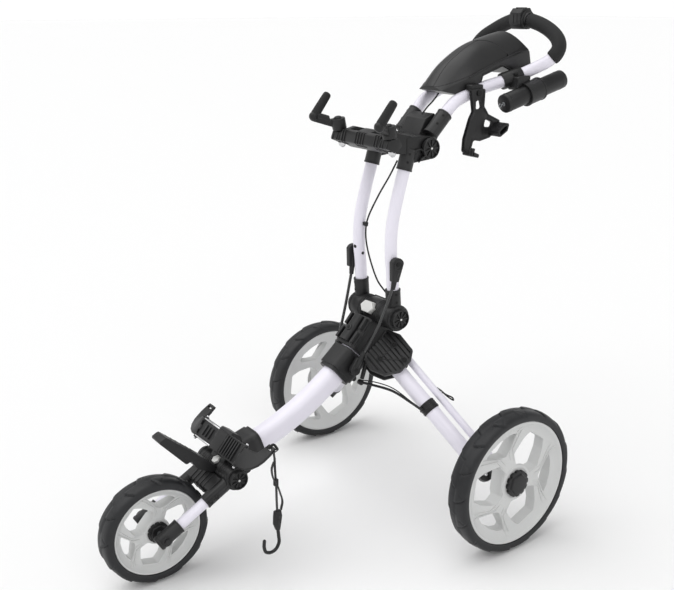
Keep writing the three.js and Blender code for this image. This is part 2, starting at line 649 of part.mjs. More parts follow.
// The cradle is a wide band square to the bag, with tall pads at its ends.
const BAG_UP = [0, 0.4, 0.9165];
const BAG_OUT = [0, -0.9165, 0.4];
const CRADLE_MIDDLE = [0, -424, 222];
const cradleOutline = [
  [-124, 24], [-118, 30], [-104, 16], [-60, 7], [60, 7], [104, 16], [118, 30], [124, 24], [108, 8], [62, 0],
  [-62, 0], [-108, 8],
];
function bandPiece(outline, low, high) {
  const start = vec(CRADLE_MIDDLE).addScaledVector(vec(BAG_UP), low).toArray();
  return prism(outline, high - low, start, [-1, 0, 0], BAG_OUT);
}
const cradlePads = join(
  bandPiece([[90, 10], [126, 30], [126, 24], [96, 5]], -26, 46),
  bandPiece([[-96, 5], [-126, 24], [-126, 30], [-90, 10]], -26, 46),
);
const frontEnvelope = join(
  arcSweep(casingSection(63, 57), SPINE_END - 4, FRONT_COLLAR_TOP + 0.5, 4),
  prismX([[-462, 190], [-420, 150], [-390, 160], [-390, 228], [-434, 227]], -24.5, 24.5),
  barX(FORK_AXIS, -64, 64, FORK_KNUCKLE_R + 3),
);
const strapSlot = prism(
  [[-8, 36], [8, 36], [8, 40], [-8, 40]], 300, [-150, CRADLE_MIDDLE[1] - 22, CRADLE_MIDDLE[2] + 8],
  [0, 1, 0], [0, 0, 1],
);
place("front_casting", frontCasting, BLACK_PLASTIC);
place("front_button", frontButton, SILVER);
place(
  "bag_cradle",
  cut(join(bandPiece(cradleOutline, -26, 26), cradlePads), frontEnvelope, strapSlot),
  BLACK_PLASTIC,
);

const restOutline = [
  [-452, 186], [-482, 216], [-552, 279], [-567, 272], [-518, 215], [-508, 218], [-496, 199], [-468, 184],
];
const restBody = cut(
  prismX(restOutline, -17, 17),
  prismX([[-548, 262], [-536, 262], [-530, 246], [-540, 246]], -30, 30),
  barX(FORK_AXIS, -30, 30, FORK_KNUCKLE_R + GAP),
  buttonBody(FORK_AXIS, FORK_BUTTON_ANGLE, 10, 60, 11.5),
  frontEnvelope,
);
place("bag_rest", restBody, BLACK_PLASTIC);

// ---------- front fork ----------
const forkAngle = THREE.MathUtils.radToDeg(
  Math.atan2(FRONT_WHEEL_R - FORK_AXIS[1], -WHEELBASE - FORK_AXIS[0]),
);
const forkLength = Math.hypot(FRONT_WHEEL_R - FORK_AXIS[1], WHEELBASE + FORK_AXIS[0]);
const FORK_X = 45;
const forkPoint = (r, x = FORK_X) => radial(FORK_AXIS, forkAngle, r, x);
const FORK_KNUCKLE_END = 58.8;
const forkTube = bar(forkPoint(42), forkPoint(forkLength - 18), FORK_TUBE_R, 12);
const forkTubeRoom = bar(forkPoint(41), forkPoint(forkLength - 17), FORK_TUBE_R + 0.5, 12);
placePair("fork_tube", cut(forkTube, bar(forkPoint(41), forkPoint(200), FORK_TUBE_R - 1.6, 12)), WHITE_PAINT);

const forkSocket = bar(forkPoint(10), forkPoint(69), 13.6, 14);
const forkEar = join(barX(FORK_AXIS, FRONT_KNUCKLE_X + 0.4, FORK_KNUCKLE_END, FORK_KNUCKLE_R), forkSocket);
const forkBridge = block([90, 22, 30], forkPoint(39, 0), forkAngle);
const crown = cut(
  join(forkEar, mirrored(forkEar), forkBridge),
  forkTubeRoom,
  mirrored(forkTubeRoom),
  pinHole(FORK_AXIS, 80),
  barX(FORK_AXIS, -FRONT_KNUCKLE_X - 0.3, FRONT_KNUCKLE_X + 0.3, FORK_KNUCKLE_R + 2),
);
place("fork_crown", crown, BLACK_PLASTIC);
place("fork_pivot_pin", pinWithCaps(FORK_AXIS, FORK_KNUCKLE_END, 18), BLACK_PLASTIC);

const wheelAxis = [-WHEELBASE, FRONT_WHEEL_R];
const axleClamp = cut(
  block([22, 44, 31], forkPoint(forkLength, FORK_X), forkAngle),
  forkTubeRoom,
  barX(wheelAxis, 20, 80, AXLE_R + GAP),
);
placePair("axle_clamp", axleClamp, BLACK_PLASTIC);
const axleNut = barX(wheelAxis, 56.4, 61, 9, 6);
const frontAxle = join(barX(wheelAxis, -60, 60, AXLE_R, 12), axleNut, mirrored(axleNut));
place("front_axle", frontAxle, STEEL);

// ---------- legs, rods and rear wheel mounts ----------
const FOOT_CLEAR = 24; // the leg's full thickness stops this far before its foot pivot
const TONGUE = 12;
const legHead = disc(LEG_TOP, SLOT_HALF, -SLOT_HALF + GAP, SLOT_HALF - GAP);
const legTube = bar(LEG_TOP, legPoint(LEG_TOP, legLength - FOOT_CLEAR, 0, 0), LEG_R);
const legTongue = join(
  disc(LEG_FOOT, 13.5, -TONGUE, -GAP, 12),
  plateBetween(LEG_FOOT, -FOOT_CLEAR - 2, 0, 12.5, -TONGUE, -GAP),
);
const COLLAR_ALONG = 127;
const collarAt = (along, out = 0, square = 0) => legPoint(LEG_TOP, along, square, out);
const legCollar = bar(collarAt(COLLAR_ALONG - 10), collarAt(COLLAR_ALONG + 11), 18.2);
const leg = cut(
  join(legHead, legTube, legTongue, legCollar),
  disc(LEG_TOP, PIVOT_PIN_R + GAP, -40, 40, 12),
  disc(LEG_FOOT, 5 + GAP, -40, 40, 12),
);
placePair("leg", leg, WHITE_PAINT);

const ROD_CLEAR = 19;
const rodEnd = legLength - ROD_CLEAR;
const rod = cut(
  join(
    disc(ROD_TOP, 9, -7.2, 7.2, 12),
    bar(ROD_TOP, legPoint(ROD_TOP, rodEnd, 0, 0), LEG_ROD_R, 10),
    disc(ROD_FOOT, 8.5, -7, -GAP, 12),
    plateBetween(ROD_FOOT, -ROD_CLEAR - 2, 0, 6.5, -7, -GAP),
  ),
  disc(ROD_TOP, PIVOT_PIN_R - 1.5 + GAP, -40, 40, 12),
  disc(ROD_FOOT, 3.5 + GAP, -40, 40, 12),
);
placePair("leg_rod", rod, WHITE_PAINT);

const AXLE_BOSS = [TRACK / 2 - 34, 0, REAR_WHEEL_R];
const mountPlate = join(
  disc(LEG_FOOT, 15, GAP, TONGUE, 14),
  disc(ROD_FOOT, 11, GAP, TONGUE, 12),
  linkPlate(LEG_FOOT, ROD_FOOT, 11, GAP, TONGUE),
  disc(LEG_FOOT, 5, -TONGUE, 1, 10),
  disc(ROD_FOOT, 3.5, -7, 1, 10),
);
const mount = join(
  mountPlate,
  bar(legPoint(LEG_FOOT, 8, 14, 11.5), AXLE_BOSS, 12, 12),
  bar([AXLE_BOSS[0] - 6, 0, REAR_WHEEL_R], [TRACK / 2 - 25, 0, REAR_WHEEL_R], 17, 14),
  barX([0, REAR_WHEEL_R], TRACK / 2 - 34, TRACK / 2 + HUB_FACE_X, AXLE_R, 12),
);
placePair("wheel_mount", mount, BLACK_PLASTIC);

// ---------- cables ----------
const CABLE_R = 1.9;
const foldCable = [[13, -128, 275], collarAt(60, 4, -36), collarAt(COLLAR_ALONG - 2, 12, -17.5)];
placePair("fold_cable", tube(foldCable, CABLE_R, 6, 8), STEEL);

// The brake cable runs from the tray into the upper joint, and from there down to the hub.
const BRAKE_CABLE_R = 1.7;
const cableAbove = [[16, 66, 837], [15, 55, 825], [15, 37, 811], [15, 25, 799.5]];
const cableBelow = [
  [0, -24, 712], [-4, -40, 683], [-14, -60, 645], [-33, -73.5, 595], [-35.5, -76, 571], [-33, -75.5, 543],
  [-20, -73, 504], [-6, -67, 470.5],
];
place("brake_cable_upper", tube(cableAbove, BRAKE_CABLE_R, 5, 8), BLACK_PLASTIC);
place("brake_cable_lower", tube(cableBelow, BRAKE_CABLE_R, 16, 8), BLACK_PLASTIC);

// ---------- strap that hangs from the cradle's right end ----------
const STRAP_TOP = [CRADLE_HALF_WIDTH + 5.5, -401, 238];
const strapDown = (x, dy, z) => [STRAP_TOP[0] + x, STRAP_TOP[1] + dy, z];
const strapRoute = [
  strapDown(0, 0, 238), strapDown(1.5, -1, 226), strapDown(2, -1, 205), strapDown(1.5, 0, 180),
  strapDown(1, 0, 155), strapDown(1, 0, 133),
];
place("bag_strap", tube(strapRoute, 2.5, 10, 8), WEBBING);
const buckle = block([8, 17, 40], strapDown(1, 0, 112.6));
place("strap_buckle", buckle, BLACK_PLASTIC);
const hookPath = [
  strapDown(1, 0, 92.2), strapDown(1, 1, 80), strapDown(1, 1, 66), strapDown(1, -6, 55),
  strapDown(1, -17, 52), strapDown(1, -27, 57), strapDown(1, -30, 68), strapDown(1, -29, 80),
];
place("strap_hook", tube(hookPath, 3, 14, 8), STEEL);

export default trolley;
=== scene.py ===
"""The looks of the push trolley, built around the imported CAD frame."""
import math

import bmesh
import bpy
import numpy as np
from mathutils import Matrix, Vector


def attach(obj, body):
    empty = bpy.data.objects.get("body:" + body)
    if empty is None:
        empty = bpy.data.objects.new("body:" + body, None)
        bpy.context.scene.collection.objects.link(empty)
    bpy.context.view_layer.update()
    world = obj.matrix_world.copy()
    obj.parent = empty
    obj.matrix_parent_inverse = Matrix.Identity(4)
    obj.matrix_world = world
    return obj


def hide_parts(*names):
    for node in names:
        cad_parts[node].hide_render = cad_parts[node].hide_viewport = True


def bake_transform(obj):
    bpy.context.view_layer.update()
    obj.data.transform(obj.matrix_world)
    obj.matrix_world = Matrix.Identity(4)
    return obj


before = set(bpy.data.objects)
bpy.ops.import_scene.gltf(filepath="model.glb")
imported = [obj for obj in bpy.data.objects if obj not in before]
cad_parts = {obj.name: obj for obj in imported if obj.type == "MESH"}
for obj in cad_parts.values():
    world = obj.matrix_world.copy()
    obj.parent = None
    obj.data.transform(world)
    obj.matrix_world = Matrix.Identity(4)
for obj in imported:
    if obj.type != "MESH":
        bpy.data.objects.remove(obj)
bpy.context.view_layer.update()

# Places are written in millimetres with Y = 0 at the rear axle, as in the CAD source.
AXLE_Y = 176.15
X, Y, Z = (1, 0, 0), (0, 1, 0), (0, 0, 1)


def metres(points):
    out = np.array(points, float).reshape(-1, 3)
    out[:, 1] += AXLE_Y
    return out / 1000


# ---------- materials ----------
def node(tree, kind, **inputs):
    """A new node; inputs are named with _ for a space."""
    made = tree.nodes.new("ShaderNode" + kind)
    for name, value in inputs.items():
        made.inputs[name.replace("_", " ")].default_value = value
    return made


def add_relief(tree, height, strength, distance):
    relief = node(tree, "Bump", Strength=strength, Distance=distance)
    tree.links.new(height, relief.inputs["Height"])
    tree.links.new(relief.outputs["Normal"], tree.nodes["Principled BSDF"].inputs["Normal"])


def material(name, color, roughness, metallic=0.0, coat=0.0, bump=None, mottle=0.0, painted_edge_highlight=0.0, sheen=0.0,
             shine=0.5):
    """A principled material with fine noise in its colour, roughness and surface, and, when asked, a painted
    highlight that lightens its sharp convex edges.
    """
    made = bpy.data.materials.new(name)
    made.use_nodes = True
    tree = made.node_tree
    link = tree.links.new
    shader = tree.nodes["Principled BSDF"].inputs
    for socket, value in (("Metallic", metallic), ("Coat Weight", coat), ("Coat Roughness", 0.12),
                          ("Sheen Weight", sheen), ("Specular IOR Level", shine)):
        shader[socket].default_value = value
    place = node(tree, "TexCoord").outputs["Object"]
    cloud = node(tree, "TexNoise", Scale=38, Detail=6)
    link(place, cloud.inputs["Vector"])
    tint = node(tree, "MapRange", To_Min=1 - mottle, To_Max=1 + mottle)
    link(cloud.outputs["Fac"], tint.inputs["Value"])
    shade = node(tree, "VectorMath")
    shade.operation = "SCALE"
    shade.inputs[0].default_value = color
    link(tint.outputs["Result"], shade.inputs["Scale"])
    paint = shade.outputs["Vector"]
    # Painted highlight: sharp convex edges, found by pointiness, are mixed toward a lighter colour as if
    # they caught the light.
    if painted_edge_highlight:
        highlight_edges = node(tree, "MapRange", From_Min=0.52, From_Max=0.62, To_Max=painted_edge_highlight)
        link(node(tree, "NewGeometry").outputs["Pointiness"], highlight_edges.inputs["Value"])
        mix = node(tree, "Mix")
        mix.data_type = "RGBA"
        link(highlight_edges.outputs["Result"], mix.inputs["Factor"])
        link(paint, mix.inputs["A"])
        mix.inputs["B"].default_value = (*[min(1, c * 3 + 0.05) for c in color], 1)
        paint = mix.outputs["Result"]
    link(paint, shader["Base Color"])
    rough = node(tree, "MapRange", To_Min=roughness * 0.85, To_Max=min(1, roughness * 1.15))
    link(cloud.outputs["Fac"], rough.inputs["Value"])
    link(rough.outputs["Result"], shader["Roughness"])
    if bump:
        scale, strength, depth = bump
        grain = node(tree, "TexNoise", Scale=scale, Detail=3)
        link(place, grain.inputs["Vector"])
        add_relief(tree, grain.outputs["Fac"], strength, depth)
    return made


PAINT = material("white_paint", (0.80, 0.775, 0.86), 0.32, coat=0.35, bump=(900, 0.04, 0.0004),
                 mottle=0.012)
# Black plastic gets a painted highlight on its sharp edges.
BLACK = material("black_plastic", (0.012, 0.012, 0.0125), 0.40, bump=(1500, 0.25, 0.0003), mottle=0.25,
                 painted_edge_highlight=0.15,
                 shine=0.34)
SATIN = material("console_plastic", (0.015, 0.015, 0.0155), 0.36, bump=(2600, 0.16, 0.0002), mottle=0.2,
                 shine=0.42)
RIM = material("rim_plastic", (0.60, 0.605, 0.60), 0.48, bump=(1200, 0.12, 0.0003), mottle=0.015)
# Tyre rubber gets a painted highlight on its sharp edges.
RUBBER = material("tyre_rubber", (0.014, 0.0145, 0.016), 0.46, bump=(1100, 0.35, 0.0005), mottle=0.3,
                  painted_edge_highlight=0.15,
                  shine=0.36)
FOAM = material("grip_foam", (0.018, 0.018, 0.0185), 0.78, bump=(1900, 0.55, 0.0006), mottle=0.2,
                sheen=0.03,
                shine=0.3)
SILVER = material("silver_plastic", (0.68, 0.68, 0.665), 0.36, metallic=0.15, coat=0.2, mottle=0.02)
CHROME = material("chrome_fastener", (0.62, 0.62, 0.63), 0.16, metallic=1.0, mottle=0.05)
STEEL = material("cable_steel", (0.30, 0.31, 0.32), 0.38, metallic=0.9, bump=(2500, 0.3, 0.0003),
                 mottle=0.1)
BRAID = material("cable_braid", (0.02, 0.02, 0.021), 0.45, metallic=0.3, bump=(2200, 0.6, 0.0005),
                 mottle=0.4)
SMOKE = material("link_rod", (0.02, 0.02, 0.021), 0.24, coat=0.4, mottle=0.1)
# Painted shade: a near-black, matt material on hex sockets, bolt holes and recessed screw heads, standing in
# for the shade inside them.
RECESS_SHADE = material("painted_recess_shade", (0.004, 0.004, 0.004), 0.8, mottle=0.2)
WEBBING = material("webbing", (0.012, 0.012, 0.012), 0.75, mottle=0.2, sheen=0.2)


def weave(tree):
    threads = node(tree, "TexWave", Scale=420, Distortion=1.2)
    threads.bands_direction = "Z"
    place = next(n for n in tree.nodes if n.type == "TEX_COORD")
    tree.links.new(place.outputs["Object"], threads.inputs["Vector"])
    add_relief(tree, threads.outputs["Fac"], 0.6, 0.0004)


weave(WEBBING.node_tree)


# ---------- shapes: (points in mm, faces) ----------
def unit(v):
    v = np.array(v, float)
    return v / np.linalg.norm(v)


def merge(*shapes):
    points, faces = [], []
    for shape_points, shape_faces in shapes:
        start = len(points)
        points.extend([tuple(p) for p in shape_points])
        faces.extend([[i + start for i in f] for f in shape_faces])
    return points, faces


def mirror(shape):
    return [(-p[0], p[1], p[2]) for p in shape[0]], [list(reversed(f)) for f in shape[1]]


def turn(shape, axis, angle, centre):
    spin = np.array(Matrix.Rotation(math.radians(angle), 3, Vector(axis)))
    c = np.array(centre, float)
    return [tuple(spin @ (np.array(p) - c) + c) for p in shape[0]], shape[1]


def rect(u0, u1, v0, v1):
    return [(u0, v0), (u1, v0), (u1, v1), (u0, v1)]


def rounded(outline, r, steps=5):
    """A closed 2-D outline with its corners rounded; r is one radius or one per corner."""
    out = []
    n = len(outline)
    radii = r if hasattr(r, "__len__") else [r] * n
    for i in range(n):
        here, back, ahead = (np.array(outline[k % n], float) for k in (i, i - 1, i + 1))
        a, b = unit(back - here), unit(ahead - here)
        half = math.acos(max(-1, min(1, float(a @ b)))) / 2
        if radii[i] <= 0 or half > 1.5:
            out.append(tuple(here))
            continue
        room = 0.48 * min(np.linalg.norm(back - here), np.linalg.norm(ahead - here))
        reach = min(radii[i] / math.tan(half), room)
        middle = here + unit(a + b) * (reach * math.tan(half) / math.sin(half))
        start, end = here + a * reach - middle, here + b * reach - middle
        sign = 1 if start[0] * end[1] - start[1] * end[0] > 0 else -1
        for k in range(steps + 1):
            t = sign * (math.pi - 2 * half) * k / steps
            c, s = math.cos(t), math.sin(t)
            out.append(tuple(middle + np.array([c * start[0] - s * start[1], s * start[0] + c * start[1]])))
    return out


def oblong(width, height, r, steps=8):
    return rounded(rect(-width / 2, width / 2, -height / 2, height / 2), r, steps)


def circle(r, sides, first=0.5):
    """Points around a circle; first is where the first one stands, as a share of a side."""
    angles = [2 * math.pi * (i + first) / sides for i in range(sides)]
    return [(r * math.cos(a), r * math.sin(a)) for a in angles]


def ensure_ccw(outline):
    area = sum(x0 * y1 - x1 * y0 for (x0, y0), (x1, y1) in zip(outline, outline[1:] + outline[:1]))
    return list(outline) if area > 0 else list(reversed(outline))


def skin(count, n):
    """The faces of a closed form made of count sections with n points each."""
    faces = [list(reversed(range(n))), [(count - 1) * n + i for i in range(n)]]
    for r in range(count - 1):
        a, b = r * n, (r + 1) * n
        faces += [[a + i, a + (i + 1) % n, b + (i + 1) % n, b + i] for i in range(n)]
    return faces


def prism(outline, depth, origin, u, v, taper=1.0):
    """An outline in the plane of u and v, pushed along u x v; taper scales its far end about the middle."""
    outline = ensure_ccw([tuple(p) for p in outline])
    u, v, o = unit(u), unit(v), np.array(origin, float)
    w = np.cross(u, v)
    middle = np.mean(np.array(outline), axis=0)
    low = [o + u * x + v * y for x, y in outline]
    far = [middle + (np.array(p) - middle) * taper for p in outline]
    high = [o + u * x + v * y + w * depth for x, y in far]
    return [tuple(p) for p in low + high], skin(2, len(outline))


def prism_x(outline, x0, x1, taper=1.0):
    return prism(outline, x1 - x0, (x0, 0, 0), Y, Z, taper)


def slab(outline, r, x0, x1):
    """A rounded (Y, Z) outline between two planes across X."""
    return prism_x(rounded(outline, r), x0, x1)


def fins(outline, r, places, half):
    return merge(*[slab(outline, r, x - half, x + half) for x in places])


def box(size, middle):
    x, y = size[0] / 2, size[1] / 2
    return prism(rect(-x, x, -y, y), size[2], (middle[0], middle[1], middle[2] - size[2] / 2), X, Y)


def lathe(profile, origin, along, sides=48):
    """Turned about a line: profile is [(distance along, radius), ...], closed at radius 0 or on itself."""
    d = unit(along)
    side = unit(np.cross(d, (0.3, 0.2, 1) if abs(d[2]) < 0.9 else X))
    up = np.cross(d, side)
    o = np.array(origin, float)
    points, rings = [], []
    for t, r in profile:
        if r <= 1e-6:
            rings.append([len(points)] * sides)
            points.append(tuple(o + d * t))
        else:
            rings.append([len(points) + i for i in range(sides)])
            for i in range(sides):
                a = 2 * math.pi * i / sides
                points.append(tuple(o + d * t + r * (side * math.cos(a) + up * math.sin(a))))
    closed = profile[0][1] > 1e-6 and profile[-1][1] > 1e-6
    faces = []
    for a, b in list(zip(rings, rings[1:])) + ([(rings[-1], rings[0])] if closed else []):
        for i in range(sides):
            k = (i + 1) % sides
            face = [a[i], b[i], b[k], a[k]]
            face = [f for j, f in enumerate(face) if f != face[j - 1]]
            if len(face) > 2:
                faces.append(face)
    return points, faces


def bar(start, end, r, end_r=None, sides=40, edge=1.0):
    """A straight round bar with eased ends."""
    a, b = np.array(start, float), np.array(end, float)
    length = float(np.linalg.norm(b - a))
    last = r if end_r is None else end_r
    e = min(edge, r * 0.5, last * 0.5, length / 3)
    k = e * 0.3
    profile = [(0, 0), (0, r - e), (k, r - k), (e, r), (length - e, last), (length - k, last - k),
               (length, last - e), (length, 0)]
    return lathe(profile, a, b - a, sides)


def bar_x(axis, x0, x1, r, sides=48, edge=1.0):
    return bar((x0, *axis), (x1, *axis), r, sides=sides, edge=edge)


def pins(axis, half):
    """Room for a pivot pin."""
    return bar_x(axis, -half, half, 7.3, 32)


def ring(start, end, r, hole, sides=40, edge=0.6):
    """A straight round sleeve."""
    a, b = np.array(start, float), np.array(end, float)
    length, e = float(np.linalg.norm(b - a)), edge
    profile = [(e, r), (length - e, r), (length, r - e), (length, hole + e), (length - e, hole), (e, hole),
               (0, hole + e), (0, r - e)]
    return lathe(profile, a, b - a, sides)


def rings_x(axis, places, low, high, *sizes):
    return merge(*[ring((x + low, *axis), (x + high, *axis), *sizes) for x in places])


def smooth_line(points, step=3.0):
    """A line through the points, sampled about every step mm (centripetal Catmull-Rom)."""
    p = [np.array(q, float) for q in points]
    p = [2 * p[0] - p[1], *p, 2 * p[-1] - p[-2]]
    out = []
    for a, b, c, d in zip(p, p[1:], p[2:], p[3:]):
        t = [0.0]
        for m, n in ((a, b), (b, c), (c, d)):
            t.append(t[-1] + max(1e-6, np.linalg.norm(n - m)) ** 0.5)
        count = max(2, int(np.linalg.norm(c - b) / step))
        for i in range(count):
            s = t[1] + (t[2] - t[1]) * i / count
            mix = lambda m, n, i0, i1: ((t[i1] - s) * m + (s - t[i0]) * n) / (t[i1] - t[i0])
            a1, a2, a3 = mix(a, b, 0, 1), mix(b, c, 1, 2), mix(c, d, 2, 3)
            out.append(mix(mix(a1, a2, 0, 2), mix(a2, a3, 1, 3), 1, 2))
    out.append(p[-2])
    return out


def sweep(line, outline, first=None, scale=None):
    """An outline (side, up) carried along a line with the least turning; scale is one factor per point."""
    line = [np.array(p, float) for p in line]
    outline = ensure_ccw([tuple(p) for p in outline])
    steps = [unit(b - a) for a, b in zip(line, line[1:])]
    tangents = [steps[0], *[unit(a + b) for a, b in zip(steps, steps[1:])], steps[-1]]
    side = unit(np.cross(tangents[0], np.array((0.13, 0.2, 1.0) if first is None else first, float)))
    points = []
    for i, (p, along) in enumerate(zip(line, tangents)):
        side = unit(side - along * float(side @ along))
        up = np.cross(along, side)
        k = 1.0 if scale is None else scale[i]
        points += [tuple(p + k * (side * x + up * y)) for x, y in outline]
    return points, [list(reversed(f)) for f in skin(len(line), len(outline))]


def ribbon(points, step, outline, first=None):
    return sweep(smooth_line(points, step), outline, first)


def tube(points, r, step, sides):
    return ribbon(points, step, circle(r, sides))


def ball(centre, r, sides):
    profile = [(r * -math.cos(math.pi * i / sides), r * math.sin(math.pi * i / sides))
               for i in range(sides + 1)]
    profile[0], profile[-1] = (-r, 0), (r, 0)
    return lathe(profile, centre, Z, sides * 2)


def dome(centre, along, r, height, sides=28):
    arch = [(height * math.sin(a), r * math.cos(a)) for a in (0.3, 0.6, 0.9, 1.2, 1.4)]
    return lathe([(0, 0), (0, r), *arch, (height, 0)], centre, along, sides)


# ---------- meshes ----------
def fresh_object(name, shape, mat):
    mesh = bpy.data.meshes.new(name)
    mesh.from_pydata([tuple(p) for p in metres(shape[0])], [], shape[1])
    mesh.validate()
    made = bpy.data.objects.new(name, mesh)
    bpy.context.scene.collection.objects.link(made)
    mesh.materials.append(mat)
    turned = bmesh.new()
    turned.from_mesh(mesh)
    bmesh.ops.recalc_face_normals(turned, faces=turned.faces)
    turned.to_mesh(mesh)
    turned.free()
    return made


def settle(made):
    """Applies the modifiers of an object to its mesh."""
    graph = bpy.context.evaluated_depsgraph_get()
    graph.update()
    done = bpy.data.meshes.new_from_object(made.evaluated_get(graph))
    old = made.data
    made.modifiers.clear()
    made.data = done
    bpy.data.meshes.remove(old)


def loose_parts(mesh):
    """How many separate parts a mesh has."""
    owner = list(range(len(mesh.vertices)))

    def root(i):
        while owner[i] != i:
            owner[i] = owner[owner[i]]
            i = owner[i]
        return i

    for edge in mesh.edges:
        owner[root(edge.vertices[0])] = root(edge.vertices[1])
    return sum(root(i) == i for i in range(len(owner)))


def boolean(made, shape, operation="DIFFERENCE", careful=False):
    tool = fresh_object("tool", shape, made.data.materials[0])
    step = made.modifiers.new("cut", "BOOLEAN")
    step.object = tool
    step.operation = operation
    step.solver = "EXACT"
    step.use_self = careful or loose_parts(made.data) > 1 or loose_parts(tool.data) > 1
    settle(made)
    data = tool.data
    bpy.data.objects.remove(tool)
    bpy.data.meshes.remove(data)


def soften(made, bevel=0.0, segments=2, angle=34, smooth=42):
    """Bevels the edges and sets which of them stay sharp."""
    if bevel:
        step = made.modifiers.new("edge", "BEVEL")
        step.width = bevel / 1000
        step.segments = segments
        step.limit_method = "ANGLE"
        step.angle_limit = math.radians(angle)
        step.use_clamp_overlap = True
        settle(made)
    made.data.shade_smooth()
    made.data.set_sharp_from_angle(angle=math.radians(smooth))


def piece(name, shape, body, mat=BLACK, slot=None, replaces=(), bevel=0.0, segments=None, smooth=42,
          cuts=(), keep=None, careful=False):
    """One visible piece, riding a body. A bevel of 1.2 mm or more has three segments if none are given."""
    made = fresh_object(name, shape, mat)
    if keep:
        boolean(made, keep, "INTERSECT", careful)
    for tool in cuts:
        boolean(made, tool, careful=careful)
    soften(made, bevel, segments or (3 if bevel >= 1.2 else 2), smooth=smooth)
    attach(made, body)
    if replaces:
        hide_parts(replaces)
    return made


def pair(name, shape, body, mat=BLACK, replaces="", cuts=(), keep=None, **options):
    """A right piece and its mirror image; body and replaces get the side's name put in."""
    for side in ("right", "left"):
        turned = (lambda made: made and mirror(made)) if side == "left" else (lambda made: made)
        piece(f"{name}_{side}", turned(shape), body.format(side), mat, replaces=replaces.format(side),
              cuts=[turned(tool) for tool in cuts], keep=turned(keep), **options)


# ---------- driving dimensions, as in the CAD ----------
REAR_R, REAR_RIM_R = 142.8, 123.9
FRONT_R, FRONT_RIM_R = 101.2, 82.4
TRACK, WHEELBASE = 637.6, 582.3
MAIN_AXIS, UPPER_AXIS, FORK_AXIS = (-73.5, 413.7), (4, 741), (-440, 178)
MAIN_BUTTON, FRONT_BUTTON = 153, 118  # where the two buttons look, in degrees up from +Y
FORK_FOLD = 86
TUBE_R, SOCKET_R = 12.0, 15.6
ROD_OFFSET = 34.8


# ---------- wheels ----------
def tyre(r, rim_r, lugs):
    """A foamed tyre with tread blocks that step up one after the other and meet in a shallow V."""
    around, across = lugs * 26, 44
    half, seat = 22.6, rim_r + 0.3
    notch = lambda phase, width: max(0.0, 1 - min(phase, 1 - phase) / width)
    circles = [[(1.2 - half, seat)] * around]
    for j in range(across):
        s = -1 + 2 * j / (across - 1)  # from one side to the other
        bow = s * math.pi / 2
        x = half * math.copysign(abs(math.sin(bow)) ** 0.82, s)
        edge = max(0.0, (abs(s) - 0.60) / 0.40)
        base = seat + 3 + (r - seat - 3) * max(0.0, math.cos(bow)) ** 0.42
        side_shift = 0.5 if s < 0 else 0.0
        reach = min(1.0, abs(s) / 0.10)
        middle = max(0.0, 1 - abs(s) / 0.035) * 0.9
        row = []
        for i in range(around):
            phase = (i / around * lugs + 0.34 * abs(s) ** 1.2 + side_shift) % 1.0
            sipe_phase = (i / around * lugs + side_shift + 0.42 - 0.28 * abs(s)) % 1.0
            sipe = notch(sipe_phase, 0.028) * (0.22 < abs(s) < 0.62)
            step = 2.34 * (1 - phase) + 2.4 * notch(phase, 0.045) * reach
            depth = (1 - 0.45 * edge**2) * (step + 1.3 * sipe + middle)
            row.append((x, max(seat, base - (0.0 if abs(s) > 0.985 else depth))))
        circles.append(row)
    circles.append([(half - 1.2, seat)] * around)
    points = []
    for row in circles:
        for i, (x, radius) in enumerate(row):
            angle = 2 * math.pi * i / around
            points.append((x, radius * math.cos(angle), radius * math.sin(angle)))
    faces = []
    for j in range(len(circles)):
        a, b = j * around, (j + 1) % len(circles) * around
        faces += [[a + i, a + (i + 1) % around, b + (i + 1) % around, b + i] for i in range(around)]
    return points, faces


# Openings as (outward, sideways) shares of the rim's radius, as in the CAD.
FORK_OPENING = [(0.52, 0), (0.71, 0.39), (0.79, 0.2), (0.81, 0), (0.79, -0.2), (0.71, -0.39)]
SIDE_OPENING = [(0.25, 0.07), (0.25, 0.2), (0.37, 0.32), (0.65, 0.26), (0.8, 0.18),
                (0.8, -0.18), (0.65, -0.26), (0.37, -0.32), (0.25, -0.2), (0.25, -0.07)]
# The rim's outer face as (share of its radius, X).
FACE = [(0.29, 14.9), (0.34, 14.2), (0.45, 12.2), (0.7, 9.4), (0.83, 8.6), (0.89, 12.2), (0.945, 17.6)]
# The lines on a forked arm: from, bend and end as (outward, sideways) shares, the outer one first.
ARM_LINES = [((0.36, 0.105), (0.56, 0.17), (0.735, 0.50)), ((0.40, 0.05), (0.545, 0.095), (0.80, 0.46))]


def around_x(turn_degrees):
    a = math.radians(turn_degrees)
    return np.array([(0, math.cos(a), math.sin(a)), (0, -math.sin(a), math.cos(a))])


def arm_line(marks, out, across, rim_r):
    """A low rib on the rim's face, with a bend in it."""
    elbow, bend, end = ((out * u + across * v) * rim_r for u, v in marks)
    steps = [elbow + (bend - elbow) * k / 5 for k in range(5)] + [bend + (end - bend) * k / 7
                                                                  for k in range(8)]
    n = len(steps)
    points = []
    for k, p in enumerate(steps):
        normal = unit(np.cross(unit(steps[min(k + 1, n - 1)] - steps[max(k - 1, 0)]), X))
        level = float(np.interp(np.linalg.norm(p) / rim_r, *zip(*FACE)))
        lift = 1.9 * min(1.0, (k + 0.2) / 2, (n - 1 - k) / 2 + 0.1)
        for w, top in ((-1.7, -3.0), (-1.0, lift), (1.0, lift), (1.7, -3.0)):
            points.append(tuple(np.array([level + top, p[1], p[2]]) + normal * w))
    return points, skin(n, 4)


